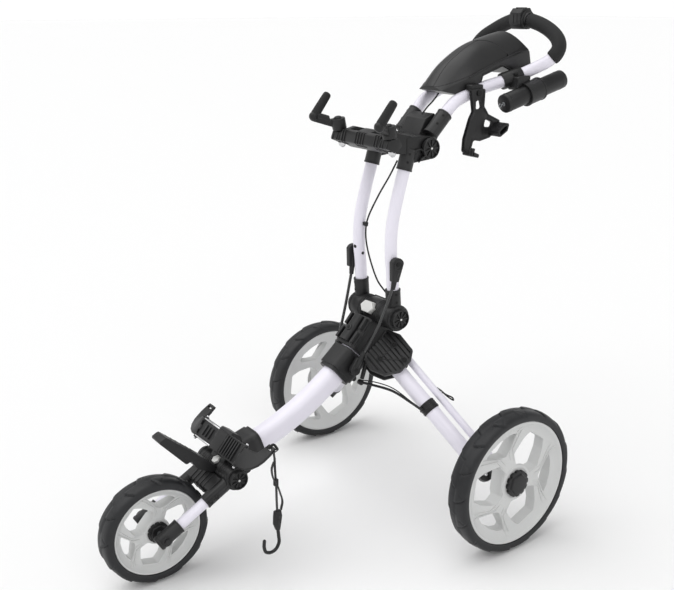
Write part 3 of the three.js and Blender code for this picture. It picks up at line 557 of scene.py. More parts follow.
def rim(name, rim_r, first_arm, *place):
    profile = [(19.2, rim_r - 0.5), (20.0, rim_r - 1.4), (19.7, rim_r * 0.962)]
    profile += [(x, rim_r * share) for share, x in reversed(FACE)]
    profile += [(14.9, 6), (-20, 6), (-20, rim_r * 0.3), (-14, rim_r * 0.36), (-14, rim_r * 0.84),
                (-19, rim_r * 0.93), (-20, rim_r * 0.95), (-20, rim_r - 0.5)]
    made = fresh_object(name, lathe(profile, (0, 0, 0), X, 144), RIM)
    tools = []
    for i in range(6):
        out, across = around_x(first_arm + i * 60)
        outline = [(u * rim_r, v * rim_r) for u, v in (SIDE_OPENING if i % 2 else FORK_OPENING)]
        tools.append(prism(rounded(outline, rim_r * 0.05, 4), 60, (-30, 0, 0), out, across))
    boolean(made, merge(*tools))
    soften(made, 1.3, 3, 38, 40)
    ribs = []
    for i in range(3):
        out, across = around_x(first_arm + i * 120)
        ribs += [arm_line(marks, out, across * s, rim_r) for s in (1, -1) for marks in ARM_LINES]
    made_ribs = fresh_object(name + "_ribs", merge(*ribs), RIM)
    soften(made_ribs, 0.6, 2, 30, 60)
    collar = fresh_object(name + "_collar",
                          lathe([(12, rim_r * 0.3), (15.7, rim_r * 0.285), (15.9, rim_r * 0.275),
                                                   (15.9, rim_r * 0.24), (12, rim_r * 0.24)], (0, 0, 0), X,
                                                   72), RIM)
    soften(collar, smooth=40)
    join_into(made, made_ribs, collar)
    finish_wheel_piece(made, *place, "rim_plastic")


def join_into(made, *others):
    with bpy.context.temp_override(active_object=made, selected_editable_objects=[made, *others]):
        bpy.ops.object.join()


def finish_wheel_piece(made, centre, sign, body, replaced, slot):
    """Moves a piece modelled about the origin to its wheel, turned over on the left side."""
    co = np.zeros(len(made.data.vertices) * 3)
    made.data.vertices.foreach_get("co", co)
    co = co.reshape(-1, 3)
    co[:, 1] -= AXLE_Y / 1000
    co[:, 0] *= sign
    co += metres([centre])[0]
    made.data.vertices.foreach_set("co", co.reshape(-1))
    if sign < 0:
        made.data.flip_normals()
    made.data.update()
    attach(made, body)
    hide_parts(replaced)


def hub_cap(name, r, thickness, *place):
    """A fluted cap with a raised six-sided face."""
    flutes, samples = 12, 192
    outline = []
    for a in (2 * math.pi * i / samples for i in range(samples)):
        notch = max(0.0, 1 - abs((a * flutes / (2 * math.pi)) % 1.0 - 0.5) / 0.2)
        reach = r - r * 0.1 * min(1, notch * 1.5)
        outline.append((reach * math.cos(a), reach * math.sin(a)))
    base = fresh_object(name, prism_x(outline, 15.3, 15.3 + thickness * 0.7), BLACK)
    soften(base, 0.8, 2, 25, 40)
    face = rounded(circle(r * 0.93, 6, 0.2), r * 0.12)
    front = fresh_object(name + "_face", prism_x(face, 15.6, 15.3 + thickness, 0.82), BLACK)
    soften(front, 0.9, 3, 25, 40)
    join_into(base, front)
    finish_wheel_piece(base, *place, "black_plastic")


def wheel(name, body, side, r, rim_r, lugs, arm, cap, x, y):
    sign = -1 if side == "_left" else 1
    place = lambda node_name: ((x, y, r), sign, body + side, f"{name}_{node_name}{side}")
    tread = fresh_object(f"{name}{side}_tyre_tread", tyre(r, rim_r, lugs), RUBBER)
    soften(tread, smooth=48)
    finish_wheel_piece(tread, *place("tyre"), "tyre_rubber")
    rim(f"{name}{side}_spoked_rim", rim_r, arm, *place("rim"))
    hub_cap(f"{name}{side}_fluted_cap", *cap, *place("hub_cap"))


wheel("rear", "rear_wheel", "_right", REAR_R, REAR_RIM_R, 16, 113, (26.5, 10), TRACK / 2, 0)
wheel("rear", "rear_wheel", "_left", REAR_R, REAR_RIM_R, 16, 113, (26.5, 10), -TRACK / 2, 0)
wheel("front", "front_wheel", "", FRONT_R, FRONT_RIM_R, 12, 76, (19.5, 8), 0, -WHEELBASE)


# ---------- lower tube, hub, slider ----------
ARC_Y, ARC_Z, ARC_R = -544.2, 770.9, 590.0  # the centre and radius of the lower tube's bow


def on_arc(angle, r=ARC_R, x=0.0):
    t = math.radians(angle)
    return np.array([x, ARC_Y + r * math.sin(t), ARC_Z - r * math.cos(t)])


def arc_sweep(outline, low, high):
    """An (X, height) outline along the lower tube's arc, between two angles."""
    steps = max(2, int((high - low) / 0.6))
    return sweep([on_arc(low + (high - low) * i / steps) for i in range(steps + 1)], outline, Z)


def spine(grow=0):
    return oblong(40 + 2 * grow, 46 + 2 * grow, 15.5 + grow)


def radial(axis, angle, r, x=0):
    a = math.radians(angle)
    return (x, axis[0] + r * math.cos(a), axis[1] + r * math.sin(a))


def hexagon_bar(axis, angle, r0, r1, wide, tall, taper=1.0, corner=0.0):
    """A six-sided bar looking out from an axis along X: wide and tall are half sizes."""
    low, high = np.array(radial(axis, angle, r0)), np.array(radial(axis, angle, r1))
    outline = [(wide * c, tall * q) for c,
               q in ((1, 0), (0.52, 1), (-0.52, 1), (-1, 0), (-0.52, -1), (0.52, -1))]
    return prism(rounded(outline, corner) if corner else outline, float(np.linalg.norm(high - low)), low, X,
                 np.cross(unit(high - low), X), taper)


def button(name, axis, angle, r0, r1, wide, tall, node_name):
    """A six-sided button with a domed face, looking out from a knuckle."""
    piece(name, hexagon_bar(axis, angle, r0, r1, wide, tall, 0.9, tall * 0.22), node_name, SILVER,
          replaces=node_name, bevel=1.6, segments=4)


LEG_TOP, LEG_FOOT = np.array([42.0, -79, 323]), np.array([262.0, -12, 134])
LEG_LENGTH = float(np.linalg.norm(LEG_FOOT - LEG_TOP))
ALONG = unit(LEG_FOOT - LEG_TOP)
OUT = -unit(np.cross(ALONG, (0.05, -0.8, -0.6)))
SQUARE = np.cross(OUT, ALONG)
ROD_SHIFT = ROD_OFFSET * (math.cos(math.radians(25)) * SQUARE + math.sin(math.radians(25)) * ALONG)
ROD_TOP, ROD_FOOT = LEG_TOP + ROD_SHIFT, LEG_FOOT + ROD_SHIFT


def leg_point(start, along, square=0, out=0):
    return np.array(start) + ALONG * along + SQUARE * square + OUT * out


def disc(centre, r, low, high, sides=48, edge=0.8):
    return bar(leg_point(centre, 0, 0, low), leg_point(centre, 0, 0, high), r, sides=sides, edge=edge)


def plate(outline, low, high, pivot=LEG_TOP):
    """An (along, square) outline in a leg's plane, between two distances out from it."""
    return prism(outline, high - low, leg_point(pivot, 0, 0, low), ALONG, SQUARE)


LOBE = [(-46, 30), (-20, 45), (22, 44), (36, 27), (41, -3), (28, -33), (0, -48), (-22, -46), (-46, -20)]


def lobe(share, r, low, high):
    return plate(rounded([(a * share, s * share) for a, s in LOBE], r), low, high)


piece("lower_tube_bow", arc_sweep(spine(), 13.6, 49.6), "frame", PAINT, replaces="lower_tube")
yoke_room = merge(bar_x(MAIN_AXIS, 30, 90, 29), bar_x(MAIN_AXIS, -90, -30, 29))
spine_room = arc_sweep(spine(0.3), 10, 52)
button_room = hexagon_bar(MAIN_AXIS, MAIN_BUTTON, 14, 60, 23.6, 13.4)
hump_room = [yoke_room, bar_x(MAIN_AXIS, -30.2, 30.2, 25)]
piece("hub_sleeve", arc_sweep(oblong(60, 62, 11), 43.3, 50.2), "frame", replaces="hub_casting",
      cuts=[spine_room, yoke_room], bevel=1.4)
piece("hub_core", slab([(-122, 372), (-108, 300), (-48, 288), (-40, 345), (-48, 392), (-80, 404)], 6, -12,
                       12),
      "frame", cuts=[spine_room, yoke_room, pins(MAIN_AXIS, 40)], bevel=1.6)
piece("hub_knuckle", bar_x(MAIN_AXIS, -30, 30, 26, 72), "frame", cuts=[pins(MAIN_AXIS, 40), button_room],
      bevel=0.9)
# Rings around the knuckle, as the release barrel has.
piece("hub_knuckle_rings", rings_x(MAIN_AXIS, (-26, -20, 20, 26), -1.4, 1.4, 26.9, 20, 72), "frame",
      cuts=[button_room], bevel=0.3)
pair("hub_leg_pins", merge(disc(LEG_TOP, 6, -20, 16, 32), disc(ROD_TOP, 4.5, -20, 16, 32)), "frame")
pair("hub_plate", lobe(0.94, 8, -22, -16.3), "frame", bevel=1)
pair("hub_sleeve_rib", merge(*[arc_sweep(rect(27.5, 31.2, z, z + 6), 43.8, 50.0) for z in (-26, -4, 18)]),
     "frame",
     bevel=0.6, cuts=[yoke_room])
# A round spine runs down the middle of the sleeve's upper side, with a bolt, between two rails.
piece("hub_spine", sweep([on_arc(t, 558) for t in np.arange(43.9, 50.4, 0.6)], oblong(25, 17, 7.5), Z),
      "frame",
      cuts=hump_room)
pair("hub_rails", merge(*[arc_sweep(rect(20.5, 27, -37, -29), low, low + 2.6) for low in (43.9, 47.2)]),
     "frame",
     bevel=1.0, cuts=hump_room)
piece("hub_spine_bolt", bar(on_arc(46.6, 551.5), on_arc(46.6, 547.6), 7, sides=36, edge=0.9), "frame")
piece("hub_spine_bolt_head", bar(on_arc(46.6, 548.6), on_arc(46.6, 546.6), 3.6, sides=6, edge=0.5),
      "frame", RECESS_SHADE)
button("main_button_hex", MAIN_AXIS, MAIN_BUTTON, 18.5, 32.5, 22.5, 12.6, "main_button")

# Side covers: a raised border, ribs parallel to the leg, three screws and the lines between them.
cover_room = merge(arc_sweep(oblong(62, 64, 11), 40, 54), yoke_room)
pair("hub_cover_base", lobe(1, 9, 16.3, 21.4), "frame", replaces="hub_cover_{}", bevel=1.0,
     cuts=[cover_room])
pair("hub_cover_border", lobe(1, 9, 20, 25), "frame", bevel=0.8, cuts=[lobe(0.9, 7, 15, 30), cover_room])
cover_ribs = merge(*[plate(rect(-60, 60, s - 3.0, s + 3.0), 20.6, 24.4) for s in np.arange(-42, 44, 9.2)])
pair("hub_cover_ribs", cover_ribs, "frame", bevel=1.3, keep=lobe(0.915, 7, 15, 30), cuts=[cover_room])
SCREWS = [(-10.3, 20.8), (-4.8, -19.7), (26.3, 16.7)]
screw_at = lambda k, out: leg_point(LEG_TOP, *SCREWS[k % len(SCREWS)], out)
seats = [ring(screw_at(k, 22.6), screw_at(k, 25.8), 6.6, 4.4, 36, 0.8) for k in range(3)]
for k in range(3):
    p0, p1 = screw_at(k, 24.6), screw_at(k + 1, 24.6)
    d = unit(p1 - p0)
    seats.append(bar(p0 + d * 6, p1 - d * 6, 1.1, sides=10, edge=0.2))
pair("hub_cover_screw_seats", merge(*seats), "frame")
screw_cross = merge(*[plate(rect(a - 2.4, a + 2.4, s - 0.5, s + 0.5), 22.2, 24) for a, s in SCREWS])
pair("hub_cover_screws", merge(*[bar(screw_at(k, 21), screw_at(k, 24.6), 4.2, sides=28, edge=0.6)
                                 for k in range(3)]),
     "frame", RECESS_SHADE, cuts=[screw_cross])

# Slider: a casing with a rolled front edge and a lug on each side.
slide_room = arc_sweep(spine(0.8), 30, 48)
piece("slider_casing", arc_sweep(oblong(58, 62, 12), 38.1, 42.9), "slider", replaces="slider",
      cuts=[slide_room],
      bevel=1.6)
piece("slider_lip", arc_sweep(oblong(54, 58, 14), 37.5, 38.4), "slider", cuts=[slide_room], bevel=0.8)
piece("slider_lugs", merge(*[bar(on_arc(40.4, 595, s * 24), on_arc(40.4, 595, s * 31.5), 9)
                             for s in (1, -1)]),
      "slider", cuts=[slide_room])
piece("slider_ribs", merge(*[arc_sweep(rect(x - 1.2, x + 1.2, 31.0, 32.2), 38.6, 42.4) for x in (-15, 15)]),
      "slider", bevel=0.4)

# ---------- legs, rods and wheel mounts ----------
leg_bar = lambda start, low, high, r, sides: bar(leg_point(start, low), leg_point(start, high), r,
                                                 sides=sides)
leg_ring = lambda low, high, *sizes: ring(leg_point(LEG_TOP, low), leg_point(LEG_TOP, high), *sizes)
leg_holes = [disc(LEG_TOP, 6.3, -40, 40, 32), disc(LEG_FOOT, 5.3, -40, 40, 32)]
rod_holes = [disc(ROD_TOP, 4.8, -40, 40, 32), disc(ROD_FOOT, 3.8, -40, 40, 32)]
strip = lambda pivot, low, high, half, out: plate(rounded(rect(low, high, -half, half), 2), out, -0.3,
                                                  pivot)
pair("leg_bar", leg_bar(LEG_TOP, 14, LEG_LENGTH - 24, 15.3, 72), "leg_{}", PAINT, replaces="leg_{}")
pair("leg_head", disc(LEG_TOP, 16, -15.7, 15.7), "leg_{}", cuts=leg_holes[:1])
pair("leg_tongue_end", disc(LEG_FOOT, 13.5, -12, -0.3), "leg_{}", cuts=leg_holes[1:])
pair("leg_tongue", strip(LEG_FOOT, -27, -8, 12.5, -12), "leg_{}", cuts=leg_holes[1:], bevel=0.7)
pair("leg_end_plug", leg_bar(LEG_FOOT, -33, -23.6, 15.8, 64), "leg_{}")
pair("leg_collar", merge(leg_ring(117, 138, 17.4, 15.2, 64, 0.9), *[
    leg_ring(a, a + 1.6, 18.1, 16, 64, 0.4) for a in (119, 123.4, 127.8, 132.2, 135)]), "leg_{}")
pair("leg_collar_clamp", bar(leg_point(LEG_TOP, 125, -17, 0), leg_point(LEG_TOP, 125, -17, 13), 3.2,
                             sides=24),
     "leg_{}")
pair("leg_rod_bar", leg_bar(ROD_TOP, 6, LEG_LENGTH - 19, 7.4, 48), "leg_rod_{}", PAINT,
     replaces="leg_rod_{}")
pair("leg_rod_ends", disc(ROD_TOP, 9, -7.2, 7.2), "leg_rod_{}", cuts=rod_holes[:1])
pair("leg_rod_foot", disc(ROD_FOOT, 8.5, -7, -0.3), "leg_rod_{}", cuts=rod_holes[1:])
pair("leg_rod_tongue", strip(ROD_FOOT, -22, -5, 6.5, -7), "leg_rod_{}", cuts=rod_holes[1:], bevel=0.5)

AXLE_BOSS = np.array([TRACK / 2 - 34, 0, REAR_R])
MOUNT = "wheel_mount_{}"
axle_bar = lambda low, high, r, sides: bar((TRACK / 2 + low, 0, REAR_R), (TRACK / 2 + high, 0, REAR_R), r,
                                           sides=sides)
both_pivots = lambda leg_disc, rod_disc: merge(disc(LEG_FOOT, *leg_disc), disc(ROD_FOOT, *rod_disc))
pair("mount_cheek", prism(rounded(rect(0, ROD_OFFSET, -11, 11), 3), 11.7, LEG_FOOT + OUT * 0.3,
                          unit(ROD_FOOT - LEG_FOOT),
                          unit(np.cross(OUT, ROD_FOOT - LEG_FOOT))), MOUNT, replaces=MOUNT, bevel=0.8)
pair("mount_eyes", both_pivots((15, 0.3, 12), (11, 0.3, 12)), MOUNT)
pair("mount_pins", both_pivots((5, -12, 1, 32), (3.5, -7, 1, 32)), MOUNT)
pair("mount_bolt_heads", both_pivots((6.5, 11.5, 14.5, 6, 0.5), (5, 11.5, 14, 6, 0.5)), MOUNT, CHROME,
     bevel=0.3)
arm_start = leg_point(LEG_FOOT, 8, 14, 11.5)
arm_d = unit(AXLE_BOSS - arm_start)
pair("mount_arm", bar(arm_start, AXLE_BOSS, 12, sides=48), MOUNT)
pair("mount_arm_rings", merge(*[ring(arm_start + arm_d * t, arm_start + arm_d * (t + 2), 12.5, 9, 48, 0.4)
                                for t in (10, 15, 20)]), MOUNT)
pair("mount_boss", axle_bar(-40, -25, 17, 64), MOUNT)
pair("mount_axle", axle_bar(-34, 15, 5, 32), MOUNT, STEEL)

# ---------- main fold: yoke, middle tubes, pin ----------
TUBE_LINE = [(52.5, -75, 452), (52.5, -77.5, 507), (52.5, -80.5, 545), (52.5, -77.5, 598), (52, -63, 656),
             (51.5, -44, 715), (51.5, -38, 734)]
pair("middle_tube_bow", tube(TUBE_LINE, TUBE_R, 5, 48), "upper_frame", PAINT, replaces="middle_tube_{}")


def socket(start, end, r=SOCKET_R, hole=TUBE_R):
    """A socket with a lip at each end."""
    a, b = np.array(start, float), np.array(end, float)
    d = unit(b - a)
    foot = min(5, float(np.linalg.norm(b - a)) / 4)
    return merge(bar(a, b - d * 3, r - 0.7, r - 0.5, 56), ring(b - d * 4, b, r, hole, 56, 0.8),
                 ring(a, a + d * foot, r, hole, 56, 0.8))


# Hex sockets drawn as thin six-sided patches just proud of the socket; in the painted-shade material they
# stand for the dark inside the holes.
def socket_screws(start, end, side, r=SOCKET_R):
    a, b = np.array(start, float), np.array(end, float)
    out = unit(side)
    seats = [a + (b - a) * share for share in (0.42, 0.8)]
    return merge(*[bar(at + out * (r - 2.5), at + out * (r + 0.1), 2.6, sides=6, edge=0.3) for at in seats])


low_socket = ((52.5, -73.5, 430), (52.5, -76.2, 472))
pair("lower_yoke_sockets", socket(*low_socket), "upper_frame")
for k, side in enumerate(((0.25, -1, 0), (1, -0.2, 0))):
    pair(f"lower_yoke_screws_{k}", socket_screws(*low_socket, side), "upper_frame", RECESS_SHADE)
pair("lower_yoke_ears", bar_x(MAIN_AXIS, 30.4, 68.4, 26, 80, 1.6), "upper_frame",
     cuts=[pins(MAIN_AXIS, 80)])
pair("lower_yoke_ear_rings", rings_x(MAIN_AXIS, (33, 62), 0, 2.4, 26.8, 20, 80, 0.7), "upper_frame")
# The two ears are joined by a curved web that hugs the back of the knuckle, clear of the button when folded.
web_arc = [radial(MAIN_AXIS, a, r)[1:] for r,
           angles in ((27.6, range(-26, 44, 6)), (31.2, range(40, -30, -6)))
           for a in angles]
piece("lower_yoke_web", prism_x(web_arc, -40, 40), "upper_frame", replaces="lower_yoke", bevel=0.7)


def pivot_caps(name, axis, half, r, body, node_name):
    """A pin with a cap at each end: a rim, radial ribs in its recess and a light centre."""
    caps, ribs, dots = [], [], []
    for s in (1, -1):
        at = lambda out: (s * (half + 0.3 + out), *axis)
        caps.append(lathe([(0, 7), (0, r - 0.8), (0.8, r), (7.6, r), (8.6, r - 1), (8.6, r - 2.6),
                           (5.2, r - 3.2),
                           (5.2, 0.01)], at(0), (s, 0, 0), 72))
        for k in range(9):
            u, v = around_x(k * 40)
            blade = [(4.6, -1.1), (r - 3.4, -1.6), (r - 3.4, 1.6), (4.6, 1.1)]
            ribs.append(prism(blade, 2.6, at(4.9 if s > 0 else 7.5), u, v))
        caps.append(bar(at(4.5), at(7.9), 4.8, sides=32, edge=0.8))
        dots.append(bar(at(7), at(8.4), 2.1, sides=24, edge=0.4))
    piece(f"{name}_shaft", bar_x(axis, -half - 2, half + 2, 7, 32), body, replaces=node_name)
    piece(f"{name}_caps", merge(*caps), body)
    piece(f"{name}_cap_ribs", merge(*ribs), body, bevel=0.4)
    piece(f"{name}_dots", merge(*dots), body, SILVER)


pivot_caps("main_pin", MAIN_AXIS, 68.4, 20, "frame", "main_pivot_pin")

# ---------- bowed links ----------
LINK_LINE = [(72, -82, 525), (69.5, -87, 490), (66, -97, 456), (60, -112, 414), (51, -131, 372),
             (42, -150, 336),
             (37.5, -158.5, 318)]
pair("link_rod", tube(LINK_LINE, 3, 4, 24), "link_{}", SMOKE, replaces="link_{}")


def link_end(at, toward, x0, x1, r, length):
    """A flat drop-shaped end with a round eye, narrowing into a ferrule."""
    d = unit((np.array(toward) - np.array(at)) * (0, 1, 1))
    outline = [(r * math.sin(t), -r * math.cos(t)) for t in np.linspace(-1.25, 1.25, 17)]
    outline += [(r * 0.5, length * 0.62), (-r * 0.5, length * 0.62)]
    return prism(rounded(outline, 0.8, 2), x1 - x0, (x0, at[1], at[2]), unit(np.cross(d, X)), d)


pair("link_ends", merge(link_end((72, -82, 525), (70, -88, 490), 66.5, 77, 14.8, 52),
                        link_end((37.5, -158.5, 318), (42, -150, 336), 33, 42, 12, 38)), "link_{}",
                        bevel=1.4)
pair("link_end_bolts", merge(bar((76.3, -82, 527), (78.4, -82, 527), 4.2, sides=24, edge=0.7),
                             bar((41.2, -158.5, 318), (43, -158.5, 318), 3.2, sides=24, edge=0.7)),
                             "link_{}", RECESS_SHADE)
pair("link_end_lines", ring((76.4, -82, 525), (78, -82, 525), 9.6, 8, 40, 0.3), "link_{}")
pair("link_ferrules", merge(bar((71.6, -83, 512), (69.2, -89, 477), 7.0, 4.4, 36),
                            bar((38.5, -156, 323), (46, -142, 353), 6.2, 4.2, 32)), "link_{}")

# ---------- upper yoke and bag bracket ----------
up_socket = ((51.5, -48.5, 702), (51.5, -36, 742))
pin_room, barrel_room = pins(UPPER_AXIS, 80), bar_x(UPPER_AXIS, -45.6, 45.6, 23)
pair("upper_yoke_sockets", socket(*reversed(up_socket)), "upper_frame", cuts=[barrel_room])
pair("upper_yoke_screws", socket_screws(*up_socket, (1, -0.5, 0)), "upper_frame", RECESS_SHADE)
pair("upper_yoke_arm", slab([(-50, 722), (-34, 716), (8, 719), (8, 763), (-50, 766)], 4, 46, 63),
     "upper_frame",
     cuts=[pin_room, barrel_room], bevel=1.2)
pair("upper_yoke_ear", bar_x(UPPER_AXIS, 46, 63, 22, 72, 1.2), "upper_frame", cuts=[pin_room])
pocket = slab([(-104, 762), (-90, 756), (-52, 752), (-52, 790), (-100, 790)], 4, 20, 48)
piece("upper_yoke_beam", slab([(-118, 752), (-92, 738), (-30, 732), (-30, 764), (-86, 778), (-112, 772)],
                              5, -62, 62),
      "upper_frame", replaces="upper_yoke", bevel=1.4, cuts=[pocket, mirror(pocket), barrel_room])
piece("upper_yoke_beam_ribs",
      fins([(-119.2, 753), (-110, 746), (-104, 744), (-104, 774), (-113, 773.2)], 1.5,
                                   (-56, -48, -12, -4, 4, 12, 48, 56), 1.3), "upper_frame", bevel=0.5)
BOLT, BOLT_UP = np.array([80.0, -101, 757]), np.array([0, -0.2, 0.98])
bolt = lambda h: BOLT + BOLT_UP * h
bolt_room = bar(bolt(-30), bolt(60), 4.4, sides=32)
pair("bracket_pads", slab([(-118, 752), (-98, 744), (-84, 756), (-92, 770), (-112, 768)], 4, 60, 92),
     "upper_frame",
     cuts=[bolt_room], bevel=1.2)
pair("bracket_pad_ribs", fins([(-119, 753), (-99, 743.2), (-96, 745), (-96, 752), (-112, 769)], 1.5,
                              (66, 73, 87), 1.2),
     "upper_frame", cuts=[bolt_room], bevel=0.4)
pair("bracket_bolt", bar(bolt(-14), bolt(38), 4, sides=32), "upper_frame", STEEL)
pair("bracket_nut", prism(circle(7.6, 6, 0), 7, bolt(-17.5), X, unit(np.cross(BOLT_UP, X))), "upper_frame",
     CHROME,
     bevel=0.7, segments=3)
pair("bracket_nut_dome", dome(bolt(-17.2), -BOLT_UP, 5.6, 5.2), "upper_frame", CHROME)
pair("bracket_bolt_head", dome(bolt(36.9), BOLT_UP, 8, 3.6, 40), "upper_frame")
pair("yoke_strap_loop", ribbon([(63.5, -22, 716), (66.5, -18, 722), (68, -10, 728), (67.5, -13, 738),
                                (65.5, -24, 742),
                                (63.5, -33, 738)], 2, oblong(7, 2.2, 0.8, 2)), "upper_frame")

# Bag bracket arms: a flat foot around the bolt, a flat arm and a soft post.
arm_tip, post_top = np.array([105.0, -147, 796]), np.array([105.0, -113, 838])
arm_cuts = [bolt_room, bar(bolt(36.4), bolt(60), 16, sides=40)]
reach_line = [bolt(25), bolt(25) + (arm_tip - bolt(25)) * 0.5, arm_tip]
rib_line = [bolt(25) * 0.62 + arm_tip * 0.38, arm_tip]
pair("bag_arm_foot", bar(bolt(14), bolt(36), 14, sides=64, edge=1.4), "bag_arm_{}",
     replaces="bag_bracket_arm_{}",
     cuts=arm_cuts)
pair("bag_arm_flat", ribbon(reach_line, 6, oblong(10, 19, 3.2, 4), BOLT_UP), "bag_arm_{}", cuts=arm_cuts,
     bevel=0.6)
pair("bag_arm_rib", ribbon(rib_line, 6, oblong(12, 5, 1.6, 3), BOLT_UP), "bag_arm_{}", cuts=arm_cuts,
     bevel=0.4)
pair("bag_arm_elbow", ball(arm_tip, 9.6, 24), "bag_arm_{}")
pair("bag_arm_post", lathe([(0, 0), (0, 8.4), (6, 9.0), (40, 8.3), (50, 7.9), (53, 6.6), (54.4, 4.2),
                            (54.9, 0)],
                           arm_tip, post_top - arm_tip, 48), "bag_arm_{}", FOAM, slot="black_plastic")
pivot_caps("upper_pin", UPPER_AXIS, 63, 20, "upper_frame", "upper_pivot_pin")

# ---------- handle: casting, tube, grips, clamp ----------
HANDLE_LINE = [(44, 40, 781), (44, 59, 800), (45.5, 81, 820), (47.5, 112, 833), (52, 152, 846),
               (63, 212, 860),
               (75, 247, 873), (92, 263, 884), (108, 274, 895), (117, 283, 907), (118, 291, 920),
               (108, 298, 934),
               (82, 305, 950), (44, 306, 965), (0, 302, 973)]
loop = HANDLE_LINE + [(-x, y, z) for x, y, z in reversed(HANDLE_LINE[:-1])]
piece("handle_loop", tube(loop, TUBE_R, 4, 48), "handle", PAINT, replaces="handle_tube")
tube_room = tube(loop, TUBE_R + 0.6, 5, 28)
fine = smooth_line(loop)
walked = np.concatenate([[0], np.cumsum([float(np.linalg.norm(b - a)) for a, b in zip(fine, fine[1:])])])
GRIP_FROM, GRIP_TO = 0.318, 0.4776  # shares of the loop's length
grip_line = [p for p, s in zip(fine, walked / walked[-1]) if GRIP_FROM <= s <= GRIP_TO]


def sleeve(line, r, hole, scale, n=56):
    """A hollow sleeve along a line."""
    outer, inner = sweep(line, circle(r, n), None, scale), sweep(line, circle(hole, n))
    points, faces = merge((outer[0], [f for f in outer[1] if len(f) == 4]),
                          (inner[0], [list(reversed(f)) for f in inner[1] if len(f) == 4]))
    half, last = len(outer[0]), len(outer[0]) - n
    for i in range(n):
        k = (i + 1) % n
        faces += [[i, k, half + k, half + i], [last + k, last + i, half + last + i, half + last + k]]
    return points, faces


swell = [1 + 0.03 * math.sin(math.pi * min(1, i / 6)) - (0.06 if i in (0, len(grip_line) - 1) else 0)
         for i in range(len(grip_line))]
pair("grip_foam_sleeve", sleeve(grip_line, 14.6, 12.2, swell), "handle", FOAM, replaces="grip_{}")
CLAMP_OUTLINE = [(283, 962), (290, 953), (311, 953), (317, 961), (317, 986), (310, 995), (291, 994),
                 (283, 985)]
piece("grip_clamp_block", slab(CLAMP_OUTLINE, 3, -15.5, 15.5), "handle", replaces="grip_clamp",
      cuts=[tube_room, *[box((3, 60, 1.6), (x, 300, 973)) for x in (-15.5, 15.5)]], bevel=2.0, segments=4)
piece("grip_clamp_collars", merge(*[
    lathe([(0, 13), (0, 17.6), (1.6, 19.2), (4.4, 19.2), (5.4, 18), (6, 16.2), (10.6, 15.8), (10.6, 13)],
          (s * 11.8, 303, 972.2), (s, 0.08, -0.13), 56) for s in (1, -1)]), "handle", cuts=[tube_room])
piece("grip_clamp_lines", merge(*[fins(rect(*sides), 0.6, (-5, 5), 0.8) for sides in (
    (290, 311, 994.3, 995.9), (282.2, 283.6, 964, 984))]), "handle", bevel=0.3)

arm_room = merge(bar_x(UPPER_AXIS, 45.6, 90, 24), box((30, 62, 60), (61, -24, 742)))
casting_cuts = [tube_room, arm_room, mirror(arm_room), pins(UPPER_AXIS, 60)]
casting_socket = ((44, 21, 762), (44, 59, 800))
pair("handle_sockets", socket(*casting_socket), "handle", cuts=casting_cuts)
pair("handle_socket_screws", socket_screws(*casting_socket, (1, -0.6, 0.6)), "handle", RECESS_SHADE)
piece("handle_casting_barrel", bar_x(UPPER_AXIS, -45.3, 45.3, 22, 72, 1.2), "handle",
      replaces="handle_casting",
      cuts=casting_cuts)
piece("handle_casting_rings",
      rings_x(UPPER_AXIS, (-30, -22, -14, 14, 22, 30), -1.3, 1.3, 22.6, 16, 72, 0.5), "handle")
hollow = slab([(20, 770), (30, 756), (52, 782), (42, 796), (28, 788)], 4, 6, 26)
piece("handle_casting_neck", slab([(2, 757), (24, 732), (60, 778), (44, 802), (22, 792)], 5, -30, 30),
      "handle",
      cuts=[*casting_cuts, hollow, mirror(hollow)], bevel=1.4)

# ---------- console ----------
CONSOLE_SIDE = [(50, 844), (58, 842), (104, 831), (143, 854), (148, 868), (199, 884), (238, 868),
                (284, 873),
                (276, 910), (246, 950.5), (240, 980), (50, 980)]
# Sections along Y: (Y, half width, height of the edge, height of the ridge).
HUMP = [(56, 33, 842, 851), (70, 39, 848, 869), (90, 46, 857, 890), (113, 52, 866, 906),
        (150, 54, 880, 926),
        (200, 54, 897, 940), (250, 53, 910, 950.5), (290, 52, 920, 955)]
RIDGE_HALF = 8
LID_FRONT, LID_BACK = 843.6, 932.0  # the lid's lower edge at Y = 40 and Y = 300


def eased(y, xs, values):
    """A smooth value between given ones."""
    slopes = np.gradient(values, xs)
    i = int(np.clip(np.searchsorted(xs, y) - 1, 0, len(xs) - 2))
    h = xs[i + 1] - xs[i]
    t = (y - xs[i]) / h
    return float((2 * t**3 - 3 * t**2 + 1) * values[i] + (t**3 - 2 * t**2 + t) * h * slopes[i]
                 + (3 * t**2 - 2 * t**3) * values[i + 1] + (t**3 - t**2) * h * slopes[i + 1])


def slope(y, inset=0.0):
    """The console's bowed right side at Y, as (X, Z) points from its edge up to the ridge."""
    ys, *columns = (np.array(v, float) for v in zip(*HUMP))
    w, edge, ridge = (eased(y, ys, column) - inset for column in columns)
    a, b, c, d = (np.array(p) for p in ((w, edge), (w * 0.80, edge + 0.52 * (ridge - edge)),
                                        (w * 0.52, ridge - 2),
                                        (RIDGE_HALF - 2, ridge)))
    return [tuple((1 - t)**3 * a + 3 * (1 - t)**2 * t * b + 3 * (1 - t) * t * t * c + t**3 * d)
            for t in (k / 9 for k in range(10))]


def hump(inset=0.0, foot=820.0, low=56, high=290, count=78):
    """The console's outer shape: sections with an upright foot, a bowed slope and a narrow ridge."""
    points = []
    for i in range(count + 1):
        y = low + (high - low) * i / count
        bow = slope(y, inset)
        right = [(bow[0][0], foot), (bow[0][0], bow[0][1] - 3), *bow]
        section = right + [(-x, z) for x, z in reversed(right)]
        points += [(x, y, z) for x, z in section]
    return points, skin(count + 1, len(section))


